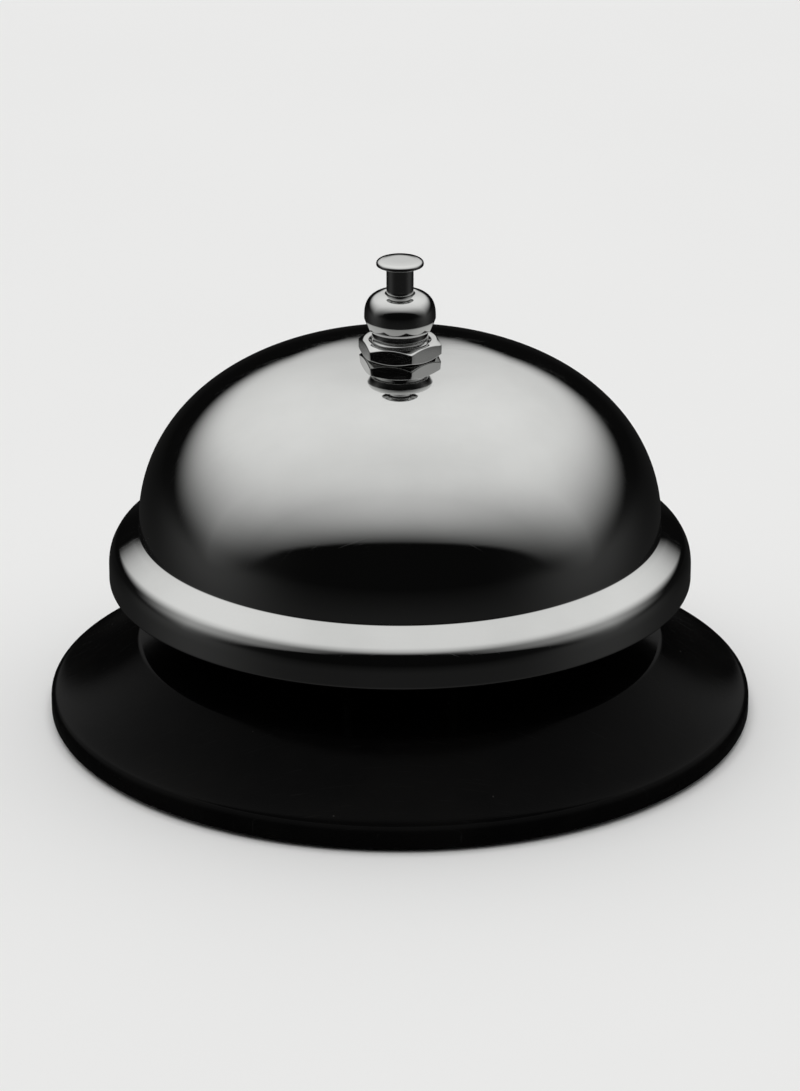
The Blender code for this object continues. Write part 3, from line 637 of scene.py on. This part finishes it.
def base_outline():
    """The base's outer surface, from its middle hole to the rim, then back inside."""
    low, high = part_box("base_shell")
    base_radius = high.x
    plateau_z = high.z
    outside = [Vector((SEAT_BOSS_RADIUS, plateau_z)), Vector((PLATEAU_RADIUS * 0.5, plateau_z))]
    outside += arc((PLATEAU_RADIUS - PLATEAU_ROUND, plateau_z - PLATEAU_ROUND), PLATEAU_ROUND,
                   90, 50, 8)
    top = outside[-1].copy()
    foot = Vector((base_radius - RIM_ROUND * 0.62, RIM_TOP_Z - 0.03 * MM))
    count = 44
    for i in range(1, count + 1):
        along = 1 - i / count
        outside.append(Vector((foot.x - (foot.x - top.x) * along,
                               foot.y + (top.y - foot.y) * along ** SKIRT_POWER)))
    outside += arc((base_radius - RIM_ROUND, RIM_TOP_Z - RIM_ROUND), RIM_ROUND, 62, 0, 8)
    outside.append(Vector((base_radius, low.z + 0.3 * MM)))
    inside = inset(outside, BASE_SHEET)
    lip = BASE_SHEET / 2
    lower_edge = [Vector((base_radius - 0.12 * MM, low.z + 0.07 * MM)),
                  Vector((base_radius - lip, low.z)),
                  Vector((base_radius - BASE_SHEET + 0.12 * MM, low.z + 0.07 * MM))]
    return without_repeats(outside + lower_edge + inside[::-1])


def make_base():
    shell = turned("base_shell_fine", base_outline(), [enamel], BIG_STEPS)
    stand_in(shell, "bell_body", "black_enamel", "base_shell")


def make_foot():
    """The rubber ring, with three shallow grooves under it for grip."""
    low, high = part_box("foot_ring")
    outer = high.x
    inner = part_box("bottom_cover")[1].x - 1.4 * MM
    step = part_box("bottom_cover")[1].x + GAP
    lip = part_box("bottom_cover")[0].z - GAP
    round_off = 0.18 * MM
    corners = [(step, high.z, round_off), (outer - 0.3 * MM, high.z, round_off),
               (outer, high.z - 0.35 * MM, round_off), (outer, low.z + 0.3 * MM, round_off),
               (outer - 0.3 * MM, low.z, round_off)]
    groove = 0.35 * MM
    for share in (0.25, 0.5, 0.75):
        middle = outer + (inner - outer) * share
        corners += [(middle + groove, low.z, 0.06 * MM), (middle, low.z + groove, 0.1 * MM),
                    (middle - groove, low.z, 0.06 * MM)]
    corners += [(inner, low.z, round_off), (inner, lip, 0.1 * MM), (step, lip, 0.05 * MM)]
    foot = turned("foot_ring_fine", soften(corners), [rubber], BIG_STEPS)
    stand_in(foot, "bell_body", "black_rubber", "foot_ring")


def make_cover():
    """The fibre disc under the base, with its edge eased and a pressed ring near it."""
    low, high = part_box("bottom_cover")
    radius = high.x
    ease = 0.12 * MM
    ring = radius * 0.8
    corners = [(0.0, high.z, 0), (radius, high.z, ease), (radius, low.z, ease),
               (ring + 0.9 * MM, low.z, 0.3 * MM), (ring + 0.4 * MM, low.z + 0.25 * MM, 0.2 * MM),
               (ring - 0.4 * MM, low.z + 0.25 * MM, 0.2 * MM), (ring - 0.9 * MM, low.z, 0.3 * MM),
               (0.0, low.z, 0)]
    cover = turned("bottom_cover_fine", soften(corners), [fibre], BIG_STEPS)
    stand_in(cover, "bell_body", "vulcanised_fibre", "bottom_cover")


# ---------------------------------------------------------------- fasteners

def make_washer(name, look, slot, inner):
    low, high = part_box(name)
    ease = 0.1 * MM
    corners = [(inner, high.z, ease), (high.x, high.z, ease), (high.x, low.z, ease),
               (inner, low.z, ease)]
    washer = even_shading(turned(name + "_fine", soften(corners), [look]))
    stand_in(washer, "bell_body", slot, name)


def make_gong_nut():
    """The nut sits on the gong, so it reaches down over the gap that the CAD leaves."""
    low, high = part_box("gong_nut")
    nut = hex_nut("gong_nut_fine", NUT_ACROSS_FLATS, low.z - GAP * 1.2, high.z,
                  POST_RADIUS + LOOSE, NUT_TURN, chrome_small)
    stand_in(nut, "bell_body", "chrome", "gong_nut")


def make_post_nut():
    low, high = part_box("post_nut")
    nut = hex_nut("post_nut_fine", POST_NUT_ACROSS_FLATS, low.z, high.z,
                  SPIGOT_RADIUS + 0.15 * MM, 0.0, zinc)
    stand_in(nut, "bell_body", "zinc_plate", "post_nut")


def thread_depth_at(z, angle, low, high):
    """How deep a right-hand thread is cut at a point, from low to high, with faded ends."""
    phase = (z / THREAD_PITCH - angle / (2 * math.pi)) % 1.0
    ridge = abs(2 * phase - 1)
    cut = min(max((1 - THREAD_FLAT - ridge) / (1 - 2 * THREAD_FLAT), 0.0), 1.0)
    fade = min((z - low) / THREAD_PITCH, (high - z) / (0.6 * THREAD_PITCH), 1.0)
    return THREAD_DEPTH * cut * max(fade, 0.0)


def post_outline():
    """The post from its top down, as (radius, z), and then up its bore."""
    low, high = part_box("center_post")
    seat_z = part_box("gong_washer")[0].z - GAP
    bore = ROD_RADIUS + 0.08 * MM
    body_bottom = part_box("mechanism_bracket")[1].z + GAP
    ease = 0.12 * MM
    seat_under = seat_z - POST_SEAT_HEIGHT
    top = [(bore, high.z, ease), (POST_RADIUS, high.z, 0.3 * MM)]
    lower = [(POST_RADIUS, seat_z, ease), (high.x, seat_z, ease), (high.x, seat_under, ease),
             (POST_BODY_RADIUS, seat_under - 0.4 * MM, ease),
             (POST_BODY_RADIUS, body_bottom, ease), (SPIGOT_RADIUS, body_bottom, ease),
             (SPIGOT_RADIUS, low.z, ease), (bore, low.z, ease)]
    return soften(top + lower)


def make_post():
    """The centre post. Its thread runs from the gong's seat up into the nut and ends above it."""
    thread_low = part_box("gong_washer")[1].z
    thread_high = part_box("gong_nut")[1].z + 0.45 * MM
    outline = without_repeats(post_outline())
    rows = []
    for point, after in zip(outline, outline[1:] + outline[:1]):
        rows.append(point)
        long_side = abs(point.x - POST_RADIUS) < CLOSE and abs(after.x - POST_RADIUS) < CLOSE
        if long_side and point.y > after.y:
            pitch_step = THREAD_PITCH / 10
            count = int((point.y - after.y) / pitch_step)
            rows += [point.lerp(after, k / count) for k in range(1, count)]
    post = turned("center_post_fine", rows, [chrome_small], TURN_STEPS)
    for vertex in post.data.vertices:
        radius = math.hypot(vertex.co.x, vertex.co.y)
        on_thread = abs(radius - POST_RADIUS) < CLOSE and thread_low < vertex.co.z < thread_high
        if on_thread:
            angle = math.atan2(vertex.co.y, vertex.co.x)
            cut = thread_depth_at(vertex.co.z, angle, thread_low, thread_high)
            vertex.co.x *= (radius - cut) / radius
            vertex.co.y *= (radius - cut) / radius
    stand_in(post, "bell_body", "chrome", "center_post")


def make_cap():
    """The bullet-shaped cap: a domed top, a slightly full side and a turned-in lower edge."""
    low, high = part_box("post_cap")
    radius = high.x
    hole = ROD_RADIUS + 0.12 * MM
    side_low = low.z + CAP_SIDE
    inside = POST_RADIUS + 0.08 * MM
    post_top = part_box("center_post")[1].z
    dome_top = high.z - 0.005 * MM
    outline = soften([(hole, post_top + GAP, 0), (hole, high.z - 0.02 * MM, 0.1 * MM),
                      (hole + 0.2 * MM, dome_top, 0)], closed=False)
    steps = 36
    start = outline[-1].x
    for i in range(1, steps + 1):
        angle = math.pi / 2 * i / steps
        rise = (dome_top - side_low) * math.cos(angle) ** CAP_POWER
        outline.append(Vector((start + (radius - start) * math.sin(angle), side_low + rise)))
    lip_bottom = Vector((radius - 0.6 * MM, low.z))
    outline += soften([(radius, side_low, 0), (radius, side_low - 0.2 * MM, 0.2 * MM),
                       (lip_bottom.x, lip_bottom.y, 0.08 * MM),
                       (inside, low.z, 0.05 * MM), (inside, low.z + 0.4 * MM, 0)], closed=False)
    outline += [Vector((inside, post_top)), Vector((inside - 0.5 * MM, post_top + GAP))]
    cap = turned("post_cap_fine", without_repeats(outline), [chrome_small], 144)
    stand_in(cap, "bell_body", "chrome", "post_cap")


def make_rivets():
    low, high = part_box("bracket_rivet_1")
    head_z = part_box("mechanism_bracket")[0].z + BRACKET_SHEET + SEATED
    tail_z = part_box("base_shell")[1].z - BASE_SHEET - SEATED
    rim = 0.12 * MM
    unit_dome = arc((0.0, 0.0), 1.0, 90, 35, 10)
    top, edge = unit_dome[0], unit_dome[-1]
    wider = RIVET_HEAD_RADIUS / edge.x
    taller = (high.z - head_z - rim) / (top.y - edge.y)
    dome = [Vector((point.x * wider, head_z + rim + (point.y - edge.y) * taller))
            for point in unit_dome]
    outline = dome + soften([(RIVET_HEAD_RADIUS, head_z, 0.05 * MM), (RIVET_RADIUS, head_z, 0),
                             (RIVET_RADIUS, tail_z, 0), (1.7 * MM, tail_z, 0.05 * MM),
                             (1.5 * MM, low.z, 0.15 * MM), (0.0, low.z, 0)], closed=False)
    for number in range(1, 5):
        node = f"bracket_rivet_{number}"
        corner_low, corner_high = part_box(node)
        rivet = turned(node + "_fine", outline, [steel], 48)
        middle = (corner_low + corner_high) / 2
        rivet.location = (middle.x, middle.y, 0.0)
        stand_in(rivet, "bell_body", "spring_steel", node)


def make_spring_seat():
    low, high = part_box("spring_seat")
    plateau_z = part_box("base_shell")[1].z
    flange_z = plateau_z + SEATED
    flange_top = plateau_z + 1.0 * MM
    under = plateau_z - BASE_SHEET - SEATED
    flange = high.x
    corners = [(0.0, high.z, 0), (SEAT_BOSS_RADIUS * 0.72, high.z, 0.15 * MM),
               (SEAT_BOSS_RADIUS, high.z - 0.6 * MM, 0.15 * MM),
               (SEAT_BOSS_RADIUS, flange_top, 0.1 * MM), (flange, flange_top, 0.14 * MM),
               (flange, flange_z, 0.05 * MM), (RIVET_RADIUS, flange_z, 0),
               (RIVET_RADIUS, under, 0), (RIVET_HEAD_RADIUS, under, 0.1 * MM),
               (RIVET_HEAD_RADIUS, low.z, 0.2 * MM), (0.0, low.z, 0)]
    seat = even_shading(turned("spring_seat_fine", soften(corners), [brass]))
    stand_in(seat, "bell_body", "brass", "spring_seat")


def spring_line(bottom, top, per_turn):
    """The coil's centre line, with its closed end turns, as (angle, z)."""
    low = bottom + SPRING_WIRE / 2
    high = top - SPRING_WIRE / 2
    pitch = (high - low - 2 * SPRING_END_PITCH) / (SPRING_TURNS - 2)
    line = []
    for i in range(SPRING_TURNS * per_turn + 1):
        turn = i / per_turn
        first = min(turn, 1.0)
        last = max(turn - (SPRING_TURNS - 1), 0.0)
        z = low + (first + last) * SPRING_END_PITCH + (turn - first - last) * pitch
        line.append((2 * math.pi * turn, z))
    return line


def make_spring():
    """Round wire wound into a coil, with its end turns ground flat."""
    low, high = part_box("return_spring")
    line = spring_line(low.z, high.z, per_turn=36)
    sides = 12
    ground = 0.08 * MM                      # how much of each end is ground flat
    shape = bmesh.new()
    rings = []
    for angle, z in line:
        out = Vector((math.cos(angle), math.sin(angle), 0.0))
        middle = out * SPRING_RADIUS + Vector((0.0, 0.0, z))
        ring = []
        for k in range(sides):
            around = 2 * math.pi * k / sides
            point = middle + out * (SPRING_WIRE / 2 * math.cos(around))
            point.z += SPRING_WIRE / 2 * math.sin(around)
            point.z = min(max(point.z, low.z + ground), high.z - ground)
            ring.append(shape.verts.new(point))
        rings.append(ring)
    for here, after in zip(rings, rings[1:]):
        for k in range(sides):
            n = (k + 1) % sides
            shape.faces.new((here[k], here[n], after[n], after[k]))
    shape.faces.new(rings[0])
    shape.faces.new(rings[-1][::-1])
    spring = finish_mesh("return_spring_fine", shape, [steel])
    stand_in(spring, "bell_body", "spring_steel", "return_spring")
    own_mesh(spring)


# ---------------------------------------------------------------- plunger, hinge and hammer

def make_plunger():
    """Push button and rod in one turned piece, with a groove for its clip and a domed tip.

    The button's top is flat in the middle, falls slightly outwards and rolls over at its edge.
    """
    low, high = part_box("plunger")
    clip_low, clip_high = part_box("plunger_clip")
    under = high.z - BUTTON_EDGE
    clip_top = clip_high.z + LOOSE
    clip_bottom = clip_low.z - LOOSE
    groove = ROD_RADIUS - 0.4 * MM
    tip = ROD_RADIUS - 0.3 * MM
    tip_height = 0.9 * MM
    corners = [(0.0, high.z, 0), (BUTTON_RADIUS * 0.55, high.z, 0.4 * MM),
               (BUTTON_RADIUS - 0.35 * MM, high.z - 0.08 * MM, 0.3 * MM),
               (BUTTON_RADIUS, high.z - 0.3 * MM, 0.2 * MM), (BUTTON_RADIUS, under, 0.1 * MM),
               (ROD_RADIUS, under - 0.03 * MM, 0.35 * MM),
               (ROD_RADIUS, clip_top, 0.05 * MM), (groove, clip_top, 0), (groove, clip_bottom, 0),
               (tip, clip_bottom, 0.05 * MM), (tip, low.z + tip_height, 0)]
    outline = soften(corners, closed=False, pieces=6)
    count = 10
    for i in range(1, count + 1):
        angle = math.pi / 2 * i / count
        radius = tip * math.cos(angle) if i < count else 0.0
        outline.append(Vector((radius, low.z + tip_height * (1 - math.sin(angle)))))
    plunger = even_shading(turned("plunger_fine", without_repeats(outline), [chrome_small]))
    stand_in(plunger, "plunger", "chrome", "plunger")
    clip = softened_copy("plunger_clip", 0.08 * MM, steel)
    stand_in(clip, "plunger", "spring_steel", "plunger_clip")


def make_hinge():
    """The hinge pin, built along Z and laid along X, and its clip."""
    low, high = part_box("hinge_pin")
    clip_low, clip_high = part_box("hinge_clip")
    head = low.x + 0.9 * MM
    head_radius = 1.9 * PIN_RADIUS
    groove = PIN_RADIUS - 0.3 * MM
    clip_outer = clip_high.x + LOOSE
    clip_inner = clip_low.x - LOOSE
    corners = [(0.0, high.x, 0), (PIN_RADIUS, high.x, 0.2 * MM),
               (PIN_RADIUS, clip_outer, 0.05 * MM), (groove, clip_outer, 0),
               (groove, clip_inner, 0), (PIN_RADIUS, clip_inner, 0.05 * MM),
               (PIN_RADIUS, head, 0), (head_radius, head, 0.12 * MM),
               (head_radius, low.x, 0.35 * MM), (0.0, low.x, 0)]
    pin = even_shading(turned("hinge_pin_fine", soften(corners), [steel], 64))
    pin.matrix_world = Matrix.Translation((0.0, HINGE.y, HINGE.z)) @ Matrix.Rotation(
        math.pi / 2, 4, "Y")
    stand_in(pin, "bell_body", "spring_steel", "hinge_pin")
    clip = softened_copy("hinge_clip", 0.08 * MM, steel)
    stand_in(clip, "bell_body", "spring_steel", "hinge_clip")


def hammer_place():
    """The arm's length, its distance behind the hinge, and the matrix from its axes to the bell's.

    Its own Y runs along the arm and its own Z towards the gong, as in the CAD.
    """
    offset = KNUCKLE_RADIUS - HAMMER_SHEET / 2
    gong_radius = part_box("gong")[1].x
    strike_y = gong_radius - GONG_SHEET - STRIKE_GAP - HEAD_RADIUS
    reach = Vector((strike_y - HINGE.y, STRIKE_Z - HINGE.z))
    head_offset = HEAD_SKIRT + GAP + HAMMER_SHEET / 2 - offset
    length = math.sqrt(reach.length_squared - head_offset ** 2)
    drop = math.atan2(-reach.y, reach.x) + math.atan2(head_offset, length) + TRAVEL / HINGE.y
    along = Vector((0, math.cos(drop), -math.sin(drop)))
    strike = Vector((0, math.sin(drop), math.cos(drop)))
    axes = Matrix((Vector((1, 0, 0)), along, strike)).transposed().to_4x4()
    return length, offset, Matrix.Translation(HINGE) @ axes


def head_outline(face):
    """The head, a ball on a grooved skirt, as (radius, height in the arm's own axes)."""
    base = face + SEATED
    pocket_end = base + RIVET_POCKET
    bore = RIVET_RADIUS + LOOSE
    centre = (0.0, HEAD_SKIRT + face + GAP)
    outline = arc(centre, HEAD_RADIUS, 90, 0, 20)
    outline[0].x = 0.0
    groove = HEAD_RADIUS - 0.25 * MM
    return outline + soften([(HEAD_RADIUS, base + 0.9 * MM, 0.1 * MM),
                             (groove, base + 0.75 * MM, 0.1 * MM),
                             (groove, base + 0.55 * MM, 0.1 * MM),
                             (HEAD_RADIUS, base + 0.4 * MM, 0.1 * MM),
                             (HEAD_RADIUS - 0.35 * MM, base, 0.12 * MM), (bore, base, 0),
                             (bore, pocket_end, 0), (0.0, pocket_end, 0)], closed=False)


def rivet_outline(face, back):
    """The rivet that holds the head, from inside the head's pocket to behind the arm."""
    tip = face + SEATED + RIVET_POCKET - GAP
    tail = back - 0.95 * MM
    return soften([(0.0, tip, 0), (RIVET_RADIUS, tip, 0.1 * MM), (RIVET_RADIUS, back, 0),
                   (RIVET_HEAD_RADIUS, back, 0.1 * MM),
                   (RIVET_HEAD_RADIUS * 0.8, tail + 0.2 * MM, 0.5 * MM), (0.0, tail, 0)])


def make_hammer():
    length, offset, place = hammer_place()
    arm = softened_copy("hammer_arm", 0.16 * MM, zinc)
    stand_in(arm, "hammer", "zinc_plate", "hammer_arm")
    face = HAMMER_SHEET / 2 - offset
    back = -HAMMER_SHEET / 2 - offset - SEATED
    head_place = place @ Matrix.Translation((0, length, 0))
    head = even_shading(turned("hammer_head_fine", without_repeats(head_outline(face)), [brass]))
    head.matrix_world = head_place
    stand_in(head, "hammer", "brass", "hammer_head")
    rivet = even_shading(turned("hammer_rivet_fine", rivet_outline(face, back), [steel], 64))
    rivet.matrix_world = head_place
    stand_in(rivet, "hammer", "spring_steel", "hammer_rivet")


def make_bracket():
    bracket = softened_copy("mechanism_bracket", 0.16 * MM, zinc)
    stand_in(bracket, "bell_body", "zinc_plate", "mechanism_bracket")


make_gong()
make_base()
make_foot()
make_cover()
make_bracket()
make_rivets()
make_spring_seat()
make_spring()
make_post()
make_washer("post_washer", zinc, "zinc_plate", SPIGOT_RADIUS + LOOSE)
make_washer("gong_washer", fibre, "vulcanised_fibre", POST_RADIUS + LOOSE)
make_post_nut()
make_gong_nut()
make_cap()
make_plunger()
make_hinge()
make_hammer()


# ---------------------------------------------------------------- floor, light and camera

FLOOR_RADIUS = 8.0
CAMERA_ELEVATION = math.radians(22.3)
CAMERA_DISTANCE = 0.65
CAMERA_TARGET_Z = 21 * MM
CAMERA_LENS = 176.0
LAMP_SPREAD = math.radians(60)          # how wide it looks from the bell
LAMP_TILT = (math.radians(4), math.radians(-7), 0.0)
LAMP_POWER = 0.58
ROOM_TONE = (0.815, 0.815, 0.815)       # what the camera sees beyond the floor

# The room by direction: x, y and z are the parts of a unit vector.
TENT_FOOT = -0.2            # z where the tent begins to be lit, at the sides
TENT_FULL = 0.93            # z where it's fully lit, at the sides
TENT_LEVEL = 1.03
SHADE_WIDTH = 0.87          # half the width of the dark shape behind the camera
SHADE_HEIGHT = 0.56
TABLE_DARK = 0.004
TABLE_UNDER = 0.03


def make_floor():
    material, tree, shader = begin_look("pale_floor")
    cloud = grain(tree, object_place(tree), 120 * MM, 3.0)
    colour = mixed(tree, cloud, (0.86, 0.86, 0.86), (0.90, 0.90, 0.90))
    tree.links.new(colour, shader.inputs["Base Color"])
    shader.inputs["Roughness"].default_value = 0.8
    shader.inputs["Specular IOR Level"].default_value = 0.0
    shape = bmesh.new()
    bmesh.ops.create_circle(shape, cap_ends=True, segments=96, radius=FLOOR_RADIUS)
    floor = finish_mesh("floor", shape, [material])
    floor.location.z = cad_low.z - SEATED
    floor.visible_glossy = False


def ahead_and_behind(tree, y):
    """How far a direction points to the front, as 0 or less, and to the back, as 0 or more."""
    return maths(tree, "MINIMUM", y, 0.0), maths(tree, "MAXIMUM", y, 0.0)


def tent_ramp(tree, y, z):
    """Light from 0 to 1: a pale tent overhead that darkens towards the floor.

    It ends high up in front, low at the sides, and with a short fade behind the bell. low and
    high are the heights where it starts and where it's fully lit.
    """
    ahead, behind = ahead_and_behind(tree, y)
    behind_squared = squared(tree, behind)
    low = maths(tree, "ADD", squared(tree, ahead), TENT_FOOT)
    low = maths(tree, "MULTIPLY_ADD", behind, 0.55, low)
    low = maths(tree, "MULTIPLY_ADD", behind_squared, -0.13, low)
    high = maths(tree, "MULTIPLY_ADD", y, -0.5, TENT_FULL)
    high = maths(tree, "MULTIPLY_ADD", behind_squared, -0.15, high)
    high = maths(tree, "MINIMUM", maths(tree, "MULTIPLY_ADD", ahead, -0.35, high), 1.25)
    made = add_node(tree, "MapRange", {"Value": z, "From Min": low, "From Max": high,
                                       "To Min": 0.0, "To Max": 1.0},
                    interpolation_type="SMOOTHSTEP")
    return made.outputs["Result"]


def camera_shade(tree, x, y, z):
    """0 inside the dark shape that stands behind the camera, 1 elsewhere."""
    across = maths(tree, "DIVIDE", x, SHADE_WIDTH)
    up = maths(tree, "DIVIDE", z, SHADE_HEIGHT)
    oval = maths(tree, "ADD", squared(tree, across), squared(tree, up))
    outside = span(tree, oval, 0.98, 1.12, 0.0, 1.0)
    return maths(tree, "MAXIMUM", outside, maths(tree, "GREATER_THAN", y, 0.0))


def tent_level(tree, y, z):
    """How bright the tent is where it's fully lit: least in front, and most high up behind."""
    ahead, behind = ahead_and_behind(tree, y)
    level = maths(tree, "MULTIPLY_ADD", ahead, 0.13, TENT_LEVEL)
    height = maths(tree, "SUBTRACT", z, 0.53)
    return maths(tree, "MULTIPLY_ADD", maths(tree, "MULTIPLY", behind, 0.9), height, level)


def table_glow(tree, x, z):
    """The faint light from the table: at the sides below the horizon, and straight below."""
    sideways = maths(tree, "POWER", maths(tree, "ABSOLUTE", x), 8.0)
    share = span(tree, z, -0.15, 0.1, 0.055, 0.015)
    glow = maths(tree, "MULTIPLY_ADD", sideways, share, TABLE_DARK)
    below = maths(tree, "MAXIMUM", maths(tree, "MULTIPLY", z, -1.0), 0.0)
    return maths(tree, "MULTIPLY_ADD", below, TABLE_UNDER, glow)


def light_room():
    """The room that the metal mirrors, by direction."""
    world = bpy.data.worlds.new("studio")
    bpy.context.scene.world = world
    world.use_nodes = True
    tree = world.node_tree
    background = tree.nodes["Background"]
    direction = add_node(tree, "TexCoord", {}).outputs["Generated"]
    x, y, z = add_node(tree, "SeparateXYZ", {"Vector": direction}).outputs
    bright = maths(tree, "MULTIPLY", tent_ramp(tree, y, z), camera_shade(tree, x, y, z))
    level = maths(tree, "MULTIPLY_ADD", bright, tent_level(tree, y, z), table_glow(tree, x, z))
    blue = maths(tree, "MULTIPLY", level, 0.99)
    tone = add_node(tree, "CombineXYZ", {0: level, 1: level, 2: blue})
    seen = add_node(tree, "LightPath", {}).outputs["Is Camera Ray"]
    tree.links.new(mixed(tree, seen, tone.outputs[0], ROOM_TONE), background.inputs["Color"])


def make_lamp():
    """A broad soft light overhead for the floor and dull surfaces. The mirrors don't show it."""
    data = bpy.data.lights.new("overhead_lamp", "SUN")
    data.angle = LAMP_SPREAD
    data.energy = LAMP_POWER
    lamp = bpy.data.objects.new("overhead_lamp", data)
    bpy.context.scene.collection.objects.link(lamp)
    lamp.rotation_euler = LAMP_TILT
    lamp.visible_glossy = False
    lamp.visible_camera = False


def make_camera():
    data = bpy.data.cameras.new("camera")
    data.lens = CAMERA_LENS
    data.clip_end = 20.0
    camera = bpy.data.objects.new("camera", data)
    bpy.context.scene.collection.objects.link(camera)
    away = Vector((0.0, -math.cos(CAMERA_ELEVATION), math.sin(CAMERA_ELEVATION)))
    camera.location = Vector((0.0, 0.0, CAMERA_TARGET_Z)) + away * CAMERA_DISTANCE
    camera.rotation_euler = (-away).to_track_quat("-Z", "Y").to_euler()
    bpy.context.scene.camera = camera


make_floor()
light_room()
make_lamp()
make_camera()
bpy.context.scene.view_settings.view_transform = "Standard"
